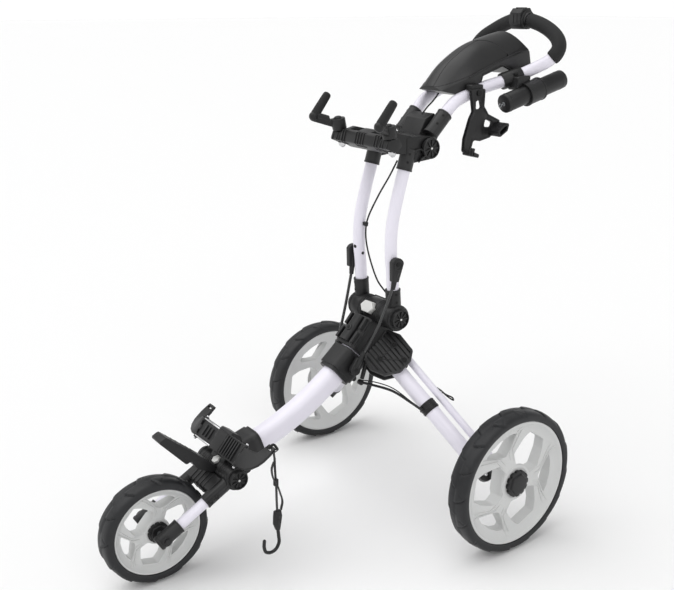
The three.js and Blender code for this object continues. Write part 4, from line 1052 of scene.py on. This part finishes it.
def vee(front, end):
    """The plan of the rear panel, whose front edge points along the ridge."""
    outline = [(0, 169 - front), (49, 216 - front), (70, 216 - front), (70, end), (-70, end),
               (-70, 216 - front),
               (-49, 216 - front)]
    return prism(outline, 200, (0, 0, 830), X, Y)


side_room = slab(CONSOLE_SIDE, [2, 4, 5, 5, 5, 6, 6, 5, 4, 8, 2, 2], -60, 60)
above_line = prism_x([(40, LID_FRONT), (300, LID_BACK), (300, 990), (40, 990)], -80, 80)
below_line = prism_x([(40, 800), (300, 800), (300, LID_BACK + 0.4), (40, LID_FRONT + 0.4)], -80, 80)
well = slab([(84, 855), (226, 903), (226, 990), (80, 990)], 5, -34, 34)
SHELL = dict(mat=SATIN, keep=side_room, segments=3, smooth=35, careful=True)
piece("console_skirt", hump(), "handle", replaces="console_tray", cuts=[above_line, well, tube_room],
      bevel=0.9,
      **SHELL)
BEAD = [(142.4, 856.8), (147.4, 870.8), (199, 886.8), (238, 871), (283, 876)]
piece("console_skirt_bead", merge(*[tube([(x, y, z) for y, z in np.linspace(a, b, 5)], 1.6, 6, 12)
                                    for a, b in zip(BEAD, BEAD[1:]) for x in (53.6, -53.6)]), "handle",
                                    SATIN,
      cuts=[tube_room])
groove_line = []
for y in range(54, 176, 10):
    x = 11 - (y - 60) * 0.03
    xs, zs = zip(*reversed(slope(y)))
    groove_line.append((x, y, float(np.interp(x, xs, zs)) + 0.1))
groove = tube(groove_line, 1.3, 4, 10)
piece("console_cover", hump(0.7), "console_lid", replaces="console_lid", bevel=0.8,
      cuts=[below_line, vee(1.8, 310), groove, mirror(groove)], **SHELL)
piece("console_cover_rear", hump(), "console_lid", cuts=[below_line, vee(0, 40)], bevel=1.0, **SHELL)
pair("console_cover_lip", tube([(53.2, 113, 867), (54.2, 150, 881), (54.2, 200, 898), (53.4, 244, 911),
                                (53, 262, 913)], 1.1, 4, 10), "console_lid", mat=SATIN)

# Parking brake lever on the left.
lever = merge(bar((-63, 214, 889), (-54.3, 214, 889), 9, sides=48),
              bar((-60, 214, 889), (-62, 262, 916), 4.5, 5.5, 32), ball((-62, 262, 916), 6.8, 18))
piece("brake_lever_arm", lever, "brake_lever", replaces="brake_lever", cuts=[tube_room])

# ---------- umbrella tube and cup bracket ----------
U0, U1 = np.array([95, 167, 816.0]), np.array([95, 326.7, 856.6])
UD = unit(U1 - U0)
at = lambda share: U0 + (U1 - U0) * share
piece("umbrella_tube_shell", lathe([
    (0, 0), (0, 16.6), (0.6, 17.8), (1.6, 18.4), (60, 18.4), (150, 18.6), (163.2, 18.6), (164.4, 18.2),
    (164.8, 17.2),
    (164.4, 16), (10, 15.9), (10, 0)], U0, UD, 72), "handle", replaces="umbrella_tube")
piece("umbrella_tube_rings", merge(*[ring(at(s), at(s) + UD * 1.4, 18.9, 17, 72, 0.3)
                                     for s in (0.05, 0.92)]),
      "handle")
# Eye screw in the closed end.
eye_line = [U0 - UD * (7 + 3.4 * (1 - math.cos(t))) + np.array([0, 0.25, -0.97]) * 3.4 * math.sin(t)
            for t in np.linspace(0.15, 2 * math.pi - 0.15, 22)]
piece("umbrella_eye_screw", merge(bar(U0 - UD * 7, U0 + UD * 2, 1.2, sides=16, edge=0.2),
                                  ring(U0 - UD * 1.5, U0, 4, 1, 28, 0.3), sweep(eye_line, circle(1.0, 10))),
      "handle", STEEL)
console_room = prism_x(CONSOLE_SIDE, -60, 54.5)
clamp_cuts = [tube_room, console_room, bar(at(-0.1), at(1.1), 18.9, sides=48)]
piece("umbrella_band", ring(at(0.36), at(0.60), 22.6, 18.0, 72, 1.0), "handle", replaces="umbrella_clamp",
      cuts=[console_room])
piece("umbrella_band_rims", merge(*[ring(at(s), at(s + 0.025), 23.4, 18.8, 72, 0.5)
                                    for s in (0.35, 0.585)]),
      "handle", cuts=[console_room])
piece("umbrella_clamp_band", bar((57.6, 194, 855), (69.6, 236, 867), 16.6, sides=56, edge=1.2), "handle",
      cuts=clamp_cuts)
piece("umbrella_clamp_web", slab([(204, 838), (236, 846), (240, 868), (206, 866)], 5, 66, 94), "handle",
      cuts=clamp_cuts, bevel=1.4)
piece("umbrella_clamp_screw", bar((80, 214, 868), (80, 211, 874), 4.4, sides=32, edge=0.8), "handle", RECESS_SHADE)

CUP_OUTLINE = [(99, 846), (136, 846), (134, 812), (146, 796), (178, 782), (172, 764), (150, 750),
               (124, 745),
               (107, 748), (98, 721), (82, 727), (84, 752), (98, 790), (106, 803)]
CUP_INSIDE = [(103, 850), (132, 850), (130, 811), (144, 793), (172, 781), (168, 768), (149, 754),
              (122, 749),
              (104, 752), (95, 727), (87, 731), (89, 752), (102, 788), (110, 803)]
CUP_CORNERS = [5, 5, 5, 5, 5, 6, 6, 5, 5, 6, 6, 6, 5, 5]
cup_room = [tube_room, console_room, bar(at(-0.1), at(1), 19.4, sides=48)]
cup_cuts = [slab([(112, 806), (128, 808), (124, 824), (112, 824)], 4, 60, 80),
            slab([(138, 788), (158, 779), (154, 770), (134, 772)], 4, 60, 80), *cup_room]
piece("cup_plate", slab(CUP_OUTLINE, CUP_CORNERS, 67.6, 74.4), "handle", replaces="cup_bracket",
      cuts=cup_cuts,
      bevel=1.2)
piece("cup_plate_border", slab(CUP_OUTLINE, CUP_CORNERS, 67, 75), "handle",
      cuts=[slab(CUP_INSIDE, 4, 60, 80), *cup_cuts], bevel=0.8)
piece("cup_foot", slab([(82, 722), (99, 717), (101, 724), (84, 731)], 2.5, 70, 100), "handle", bevel=1.0,
      segments=3,
      cuts=cup_room)
piece("cup_foot_lip", slab([(80, 722), (86, 721), (90, 736), (84, 738)], 2, 92, 100), "handle", bevel=1.0)
piece("cup_arm", slab([(150, 752), (172, 764), (178, 782), (162, 776), (146, 764)], 4, 70, 104), "handle",
      bevel=1.4,
      cuts=[slab([(153, 757), (168, 766), (172, 776), (163, 772), (151, 764)], 3, 78, 110), *cup_room])
piece("cup_root", slab(rect(103, 133, 842, 854), 3, 54.6, 70.5), "handle", bevel=1.2, cuts=cup_room)
piece("cup_bolt", bar((75, 119, 838), (77.6, 119, 838), 5.4, edge=1.0), "handle", RECESS_SHADE)

# ---------- cables and small things on the tubes ----------
BRAKE_ABOVE = [(16, 66, 837), (15, 55, 825), (15, 37, 811), (15, 25, 799.5)]
BRAKE_BELOW = [(0, -24, 712), (-4, -40, 683), (-14, -60, 645), (-33, -73.5, 595), (-35.5, -76, 571),
               (-33, -75.5, 543),
               (-20, -73, 504), (-7, -67.5, 472), (2, -58, 453), (8, -47.5, 437)]
piece("brake_cable_above", tube(BRAKE_ABOVE, 1.7, 2, 16), "handle", replaces="brake_cable_upper")
piece("brake_cable_below", tube(BRAKE_BELOW, 1.7, 3, 16), "upper_frame", replaces="brake_cable_lower")
piece("brake_cable_clip", merge(bar((-34.4, -75, 590), (-34.8, -75.6, 582), 4, sides=20, edge=0.6),
                                prism_x(rect(-80, -73, 583, 590), -42, -34)), "upper_frame", bevel=0.8)
pair("middle_tube_rivet", dome((40.7, -80, 526), (-1, -0.2, 0), 3.2, 1.8), "upper_frame")
piece("middle_tube_front_rivet", merge(dome((-51, -91.6, 540), (0.15, -1, 0), 4.2, 1.2, 32),
                                       dome((-51, -92.4, 540), (0.15, -1, 0), 2.2, 1.2, 24)), "upper_frame")
for side, s in (("right", 1), ("left", -1)):
    piece(f"fold_cable_lug_{side}",
          merge(bar(on_arc(45.4, 616, s * 13), on_arc(40.6, 645, s * 13), 5.2, 4.4, 28),
                                          bar((s * 8, -128, 275), (s * 18, -128, 275), 5.6, sides=32)),
                                          "frame")
    thick = [(13, -128, 275), (30, -111, 270), *[leg_point(LEG_TOP, *place) for place in (
        (60, -36, 4), (100, -24, 9), (125, -17.5, 12))]]
    thick = [np.array(p) * (s, 1, 1) for p in thick]
    thin = [p + (0, -1, lift) for p, lift in zip(thick, (5, 8, 7, 3, 1))]
    for name, line, r in (("thick", thick, 2.6), ("thin", thin, 1.1)):
        cable = fresh_object(f"fold_cable_{side}_{name}", tube(line, r, 3, 18), BRAID)
        soften(cable)
        if name == "thick":
            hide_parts(f"fold_cable_{side}")
        tuple(metres(line[0])[0])
        tuple(metres(line[-1])[0])
        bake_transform(cable)

# ---------- front casting, cradle, bag rest ----------
front_button_at = lambda r: radial(FORK_AXIS, FRONT_BUTTON, r)
button_hole = bar(front_button_at(10), front_button_at(60), 11, sides=6, edge=0.1)
fork_side_room = merge(bar_x(FORK_AXIS, 26, 90, 25), bar_x(FORK_AXIS, -90, -26, 25))
front_cuts = [spine_room, fork_side_room, pins(FORK_AXIS, 60), button_hole]
piece("front_collar", arc_sweep(oblong(56, 62, 12), 10.4, 17.2), "frame", replaces="front_casting",
      cuts=front_cuts,
      bevel=1.2)
piece("front_collar_lip", arc_sweep(oblong(53, 59, 14), 16.8, 17.8), "frame", cuts=[spine_room], bevel=0.8)
piece("front_nose", slab([(-455, 190), (-420, 158), (-392, 164), (-392, 226), (-432, 224)], 6, -24, 24),
      "frame",
      cuts=front_cuts, bevel=1.6)
piece("front_barrel", bar_x(FORK_AXIS, -26, 26, 22, 72), "frame", cuts=front_cuts[2:])
piece("front_barrel_rings", rings_x(FORK_AXIS, (-23, -18.5, 18.5, 23), -1.1, 1.1, 22.8, 17, 72, 0.4),
      "frame",
      cuts=[button_hole])
piece("front_button_lip", ring(front_button_at(20), front_button_at(23.6), 13.6, 11.1, 40, 1.0), "frame")
button("front_button_hex", FORK_AXIS, FRONT_BUTTON, 15, 25.5, 10.5, 9, "front_button")

BAG_UP, BAG_OUT = np.array([0, 0.65, 0.76]), np.array([0, -0.76, 0.65])
CRADLE = np.array([0, -440.5, 232.5])
FRONT_ROOM = [arc_sweep(oblong(57, 63, 9), 9.6, 18.1),
              prism_x([(-462, 190), (-420, 150), (-390, 160), (-390, 228), (-434, 227)], -24.5, 24.5),
              bar_x(FORK_AXIS, -64, 64, 25)]


def cradle_at(x, out, up):
    return CRADLE + (x, 0, 0) + BAG_OUT * out + BAG_UP * up


def band(outline, low, high):
    """A piece of the cradle: an (out, X) outline between two heights along the bag."""
    return prism(outline, high - low, cradle_at(0, 0, low), BAG_OUT, X)


def paddle(stations, thickness):
    """A curved sheet through (x, out, up, half width) stations."""
    centres = [cradle_at(*st[:3]) for st in stations]
    points = []
    for i, (centre, st) in enumerate(zip(centres, stations)):
        along = unit(centres[min(i + 1, len(centres) - 1)] - centres[max(i - 1, 0)])
        face = unit(BAG_OUT - along * float(BAG_OUT @ along))
        wide = np.cross(face, along)
        outline = oblong(2 * st[3], thickness, 2.4, 4)
        points += [tuple(centre + wide * u + face * (v + 0.0035 * u * u)) for u, v in outline]
    return points, skin(len(stations), len(outline))


def cradle_bars(x, out, levels, length, r, sides, edge):
    """Round bars that stand along the bag."""
    return merge(*[bar(cradle_at(x, out, u), cradle_at(x, out, u + length), r, sides=sides, edge=edge)
                   for u in levels])


# The middle: a smooth crown, ribs on both sides of it and a hinge line at each end.
crown = rounded([(-3, -74), (-3, 74), (1.6, 74), (1.6, 17), (5, 15), (5, -15), (1.6, -17), (1.6, -74)],
                [1, 1, 1, 1, 2, 2, 1, 1])
piece("cradle_band", band(crown, -18.5, 18.5), "frame", replaces="bag_cradle", cuts=FRONT_ROOM, bevel=1.0,
      segments=3)
for side, places, half, high, r, tall in (("right", (20, 28, 36, 44, 52, 60), 1.7, 5.2, 0.8, 17.6),
                                          ("left", (-34, -46, -57), 2, 4, 1.2, 11)):
    ribs = [band(rounded([(o, u) for u, o in rect(x - half, x + half, 0, high)], r, 3), -tall, tall)
            for x in places]
    piece(f"cradle_ribs_{side}", merge(*ribs), "frame", bevel=0.5)
piece("cradle_rails", merge(*[bar(cradle_at(-75, 2.4, u), cradle_at(-17, 2.4, u), 1.9, sides=20, edge=0.5)
                              for u in (-18, 18)]), "frame", CHROME)
edge_outline = rounded([(o, u) for u, o in rect(-74, 74, -4.4, 2.2)], 1.2)
piece("cradle_edges", merge(*[band(edge_outline, low, low + 3) for low in (-20.4, 17.4)]), "frame",
      cuts=FRONT_ROOM,
      bevel=0.7)
pair("cradle_hinges", cradle_bars(76, -0.5, (-22, -5, 13), 9, 4.6, 32, 0.9), "frame")
pair("cradle_pins", cradle_bars(76, -0.5, (-25, 21), 4, 2.6, 24, 1.0), "frame", mat=CHROME)
WING = [(77, 0, 0, 17.5), (83, -0.4, -0.8, 18.2), (90, -1.8, -0.8, 18.6), (98, -4.4, 1.2, 18.6),
        (104.5, -7.6, 5.2, 17.6), (109, -11, 10.5, 16), (111.8, -14.4, 17, 14.2), (113, -17, 25, 13.4),
        (113.6, -19.6, 33, 12.4), (113.8, -21.6, 40, 11.4), (113.8, -22.6, 44, 10.4)]
wing_tip = BAG_UP * 0.92 - BAG_OUT * 0.39
wing_slot = prism(rect(-7.5, 7.5, -2, 2), 40, cradle_at(113.5, -20.8, 37) + np.cross(X, wing_tip) * -20, X,
                  wing_tip)
pair("cradle_wing", paddle(WING, 6.2), "frame", cuts=[wing_slot, *FRONT_ROOM])
pair("cradle_wing_rib", paddle([(x + 0.5, o - 4.6, u - 1.0, h * 0.5) for x, o, u, h in WING[1:9]], 6.4),
     "frame",
     cuts=FRONT_ROOM)
piece("cradle_seat", slab([(-447, 214), (-440, 240), (-424, 252), (-408, 240), (-404, 222), (-420, 208)],
                          4, -21, 21),
      "frame", cuts=FRONT_ROOM[:1], bevel=1.4)
strap_link = [cradle_at(113.5, -17, 37), cradle_at(115, -20, 48), cradle_at(122, -29, 44),
              (129, -401.6, 247),
              (129.5, -401.2, 238.5)]
piece("cradle_strap_loop", ribbon(strap_link, 3, oblong(6.0, 1.6, 0.6, 2), X), "frame", WEBBING)

REST = [(-452, 186), (-482, 216), (-552, 279), (-567, 272), (-518, 215), (-508, 218), (-496, 199),
        (-468, 184)]
rest_room = [slab([(-548, 262), (-536, 262), (-530, 246), (-540, 246)], 2, -12, 12),
             bar_x(FORK_AXIS, -30, 30, 22.4),
             bar(front_button_at(10), front_button_at(60), 13.8, sides=24, edge=0.1), *FRONT_ROOM[:2]]
piece("bag_rest_tongue", slab(REST, [4, 5, 5, 4, 5, 4, 4, 5], -17, 17), "frame", replaces="bag_rest",
      cuts=rest_room,
      bevel=1.6)
treads = []
for t in (0.2 + k * 0.13 for k in range(6)):
    p = np.array([0, -482 - 70 * t, 216 + 63 * t])
    treads.append(turn(box((26, 2.0, 1.6), p), X, -42, p))
piece("bag_rest_treads", merge(*treads), "frame", bevel=0.4, cuts=rest_room[:1])

# ---------- fork ----------
HUB_AXIS = (-WHEELBASE, FRONT_R)
FORK_ANGLE = math.degrees(math.atan2(FRONT_R - FORK_AXIS[1], -WHEELBASE - FORK_AXIS[0]))
FORK_LENGTH = math.hypot(FRONT_R - FORK_AXIS[1], WHEELBASE + FORK_AXIS[0])
fork_at = lambda r, x=45: radial(FORK_AXIS, FORK_ANGLE, r, x)
fork_cuts = [pins(FORK_AXIS, 80), bar_x(FORK_AXIS, -26.3, 26.3, 24)]
fork_studs = lambda x0, x1, r, sides, edge: merge(*[bar(fork_at(along, x0), fork_at(along, x1), r,
                                                        sides=sides, edge=edge)
                                                    for along in (48, 61)])
pair("fork_tube_bar", bar(fork_at(42), fork_at(FORK_LENGTH - 18), 10.2, sides=48), "fork", mat=PAINT,
     replaces="fork_tube_{}")
pair("fork_sockets", socket(fork_at(10), fork_at(69), 13.6, 10.2), "fork", cuts=fork_cuts)
pair("fork_socket_bosses", fork_studs(56.8, 60.2, 4.6, 32, 0.8), "fork")
pair("fork_socket_bolts", fork_studs(59.8, 60.9, 2.2, 6, 0.3), "fork", mat=RECESS_SHADE)
pair("fork_ears", bar_x(FORK_AXIS, 26.4, 58.8, 22, 72, 1.4), "fork", cuts=fork_cuts[:1])
pair("fork_ear_rings", rings_x(FORK_AXIS, (29, 35, 41, 53), 0, 2, 22.7, 17, 72, 0.6), "fork")
# What the front casting takes up when the fork is folded, seen from the fork.
folded_room = [turn(shape, X, -FORK_FOLD, (0, *FORK_AXIS)) for shape in (
    arc_sweep(oblong(58, 64, 12), 10.0, 17.6),
    prism_x([(-458, 189), (-421, 155), (-390, 161), (-390, 230), (-434, 227)], -25.5, 25.5))]
d_fork = unit(np.array(fork_at(60, 0)) - np.array(fork_at(20, 0)))
across_fork = unit(np.cross(d_fork, X))
fork_slab = lambda outline, r, x, wide: prism(rounded(outline, r), wide, fork_at(0, x), d_fork, across_fork)
piece("fork_bridge", fork_slab([(20, -17), (54, -15), (54, 13), (20, 17)], 4, 45, 90), "fork",
      replaces="fork_crown",
      cuts=[*fork_cuts, *folded_room], bevel=1.6)
piece("fork_bridge_ribs", merge(*[fork_slab([(22, -18), (54.8, -16), (54.8, 14), (22, 18)], 3, x, 2.4)
                                  for x in (-24, -12, 0, 12, 24)]), "fork",
      cuts=[*fork_cuts[1:], *folded_room], bevel=0.6)
pivot_caps("fork_pin", FORK_AXIS, 58.8, 18, "fork", "fork_pivot_pin")
fork_end = lambda t, x=45: fork_at(FORK_LENGTH + t, x)
end_cuts = [bar_x(HUB_AXIS, 20, 80, 5.3), bar(fork_end(-40), fork_end(-17.6), 10.6, sides=40)]
pair("axle_clamp_block", bar(fork_end(-34), fork_end(15), 13.6, sides=64, edge=1.6), "fork",
     replaces="axle_clamp_{}", cuts=end_cuts)
pair("axle_clamp_lips", merge(*[ring(fork_end(t), fork_end(t + 3), 14.4, 11, 64, 0.9) for t in (-34, 9)]),
     "fork",
     cuts=end_cuts[:1])
pair("axle_clamp_face", rings_x(HUB_AXIS, (54.4,), 0, 4.2, 9.5, 5.4, 48, 0.8), "fork")
pair("axle_clamp_screw", bar(fork_end(-15, 55.4), fork_end(-15, 57), 3, sides=6, edge=0.4), "fork",
     mat=RECESS_SHADE)
piece("front_axle_rod", bar_x(HUB_AXIS, -60, 60, 5, 40), "fork", STEEL, replaces="front_axle")
nut_outline = [(y + HUB_AXIS[0], z + HUB_AXIS[1]) for y, z in circle(6.5, 6, 0)]
pair("front_axle_nut", prism_x(nut_outline, 56.6, 61), "fork", slot="cable_steel", bevel=0.9, segments=3)

# ---------- hanging strap ----------
down = lambda x, dy, z: (129.5 + x, -401 + dy, z)
flat = lambda width, *points: ribbon([down(*p) for p in points], 3, oblong(1.8, width, 0.6, 2), X)
route = [down(0, 0, 238), down(1.5, -1, 226), down(2, -1, 205), down(1.5, 0, 180), down(1, 0, 155),
         down(1, 0, 133)]
route_fine = smooth_line(route)
strap = fresh_object("bag_strap_webbing", sweep(route_fine, oblong(1.8, 6.4, 0.6, 2), X), WEBBING)
soften(strap)
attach(strap, "frame")
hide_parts("bag_strap")
keeper = piece("strap_keeper", turn(box((6.4, 8.6, 13), down(1.6, -0.4, 190)), Y, 3, down(1.6, 0, 190)),
               "frame",
               bevel=1.4)
loop_side = piece("strap_loop",
                  flat(6.0, (2.4, -1.5, 188), (3.0, -7.5, 206), (2.4, -8.0, 220), (1.4, -2.5, 231)),
                  "frame", WEBBING)
tail_side = piece("strap_tail", flat(6.0, (2.2, 1.4, 186), (2.6, 7, 166), (2.2, 11, 148), (1.4, 7.6, 132)),
                  "frame",
                  WEBBING)
BUCKLE = [(-407, 132.6), (-394, 132.6), (-392.5, 120.6), (-395, 106.6), (-398, 92.6), (-405, 92.6),
          (-409.5, 106.6),
          (-408.5, 122.6)]
buckle = piece("strap_cam_buckle", slab(BUCKLE, 2, 126.7, 134.3), "frame", replaces="strap_buckle",
               bevel=1.3)
cam = piece("strap_buckle_cam", merge(bar((125.8, -399, 120), (135.2, -399, 120), 3.2, sides=28, edge=0.6),
                                      slab([(-405, 104), (-398, 104), (-397, 116), (-404, 118)], 1.5,
                                           126.2, 134.8)),
            "frame", bevel=0.6)
hook_route = [down(1, dy, z) for dy,
              z in ((0, 92.2), (1, 80), (1, 66), (-6, 55), (-17, 52), (-27, 57), (-30, 68),
                                           (-29, 80))]
hook = piece("strap_s_hook", tube(hook_route, 3.2, 2, 24), "frame", slot="cable_steel",
             replaces="strap_hook")
hook_tip = piece("strap_hook_tip", ball(hook_route[-1], 3.05, 16), "frame")
metres([route[0]])[0]
[tuple(p) for p in metres(route_fine)]

# A thin cable loop hangs at the near leg's rod.
CABLE_LOOP = [(92, 6.5, 1), (104, 9.5, 2), (116, 10.5, 3), (127, 13, 3), (133, 16, 3), (128, 17.5, 3),
              (117, 12.5, 3),
              (106, 8.5, 2)]
piece("leg_cable_loop", tube([leg_point(ROD_TOP, *p) for p in CABLE_LOOP], 1.5, 2, 14), "leg_rod_right")

# ---------- floor, light and camera ----------
REACH = 60.0
ground = bpy.data.meshes.new("floor")
ground.from_pydata([(x, y, 0) for x, y in rect(-REACH, REACH, -REACH, REACH)], [], [(0, 1, 2, 3)])
floor = bpy.data.objects.new("floor", ground)
bpy.context.scene.collection.objects.link(floor)
ground.materials.append(material("floor_white", (0.88, 0.88, 0.88), 0.9))

# A studio that is white at the horizon and softer overhead.
world = bpy.data.worlds.new("studio")
bpy.context.scene.world = world
world.use_nodes = True
sky = world.node_tree
height = node(sky, "SeparateXYZ")
sky.links.new(node(sky, "TexCoord").outputs["Generated"], height.inputs["Vector"])
level = node(sky, "MapRange", From_Min=0.08, From_Max=0.35, To_Min=1.02, To_Max=0.5)
sky.links.new(height.outputs["Z"], level.inputs["Value"])
sky.links.new(level.outputs["Result"], sky.nodes["Background"].inputs["Strength"])
sky.nodes["Background"].inputs["Color"].default_value = (1, 1, 1, 1)


def sun(name, heading, strength, spread):
    data = bpy.data.lights.new(name, "SUN")
    data.energy = strength
    data.angle = math.radians(spread)
    made = bpy.data.objects.new(name, data)
    bpy.context.scene.collection.objects.link(made)
    made.rotation_euler = Vector(heading).to_track_quat("-Z", "Y").to_euler()


sun("key", (0.25, 0.35, -1), 1.75, 75)
sun("fill", (-0.9, 0.15, -0.75), 0.5, 40)

CAMERA_AZIMUTH, CAMERA_ELEVATION = 52.24, 18.19
camera_data = bpy.data.cameras.new("camera")
camera = bpy.data.objects.new("camera", camera_data)
bpy.context.scene.collection.objects.link(camera)
camera_data.lens = 49.9
camera_data.sensor_width = 36
camera_data.shift_x = -0.0820
camera_data.shift_y = 0.0218
camera.location = (1.4373, -0.97365, 1.0049)
a, e = math.radians(CAMERA_AZIMUTH), math.radians(CAMERA_ELEVATION)
back = Vector((math.sin(a) * math.cos(e), -math.cos(a) * math.cos(e), math.sin(e)))
camera.rotation_euler = back.to_track_quat("Z", "Y").to_euler()
bpy.context.scene.camera = camera
bpy.context.scene.view_settings.view_transform = "Standard"
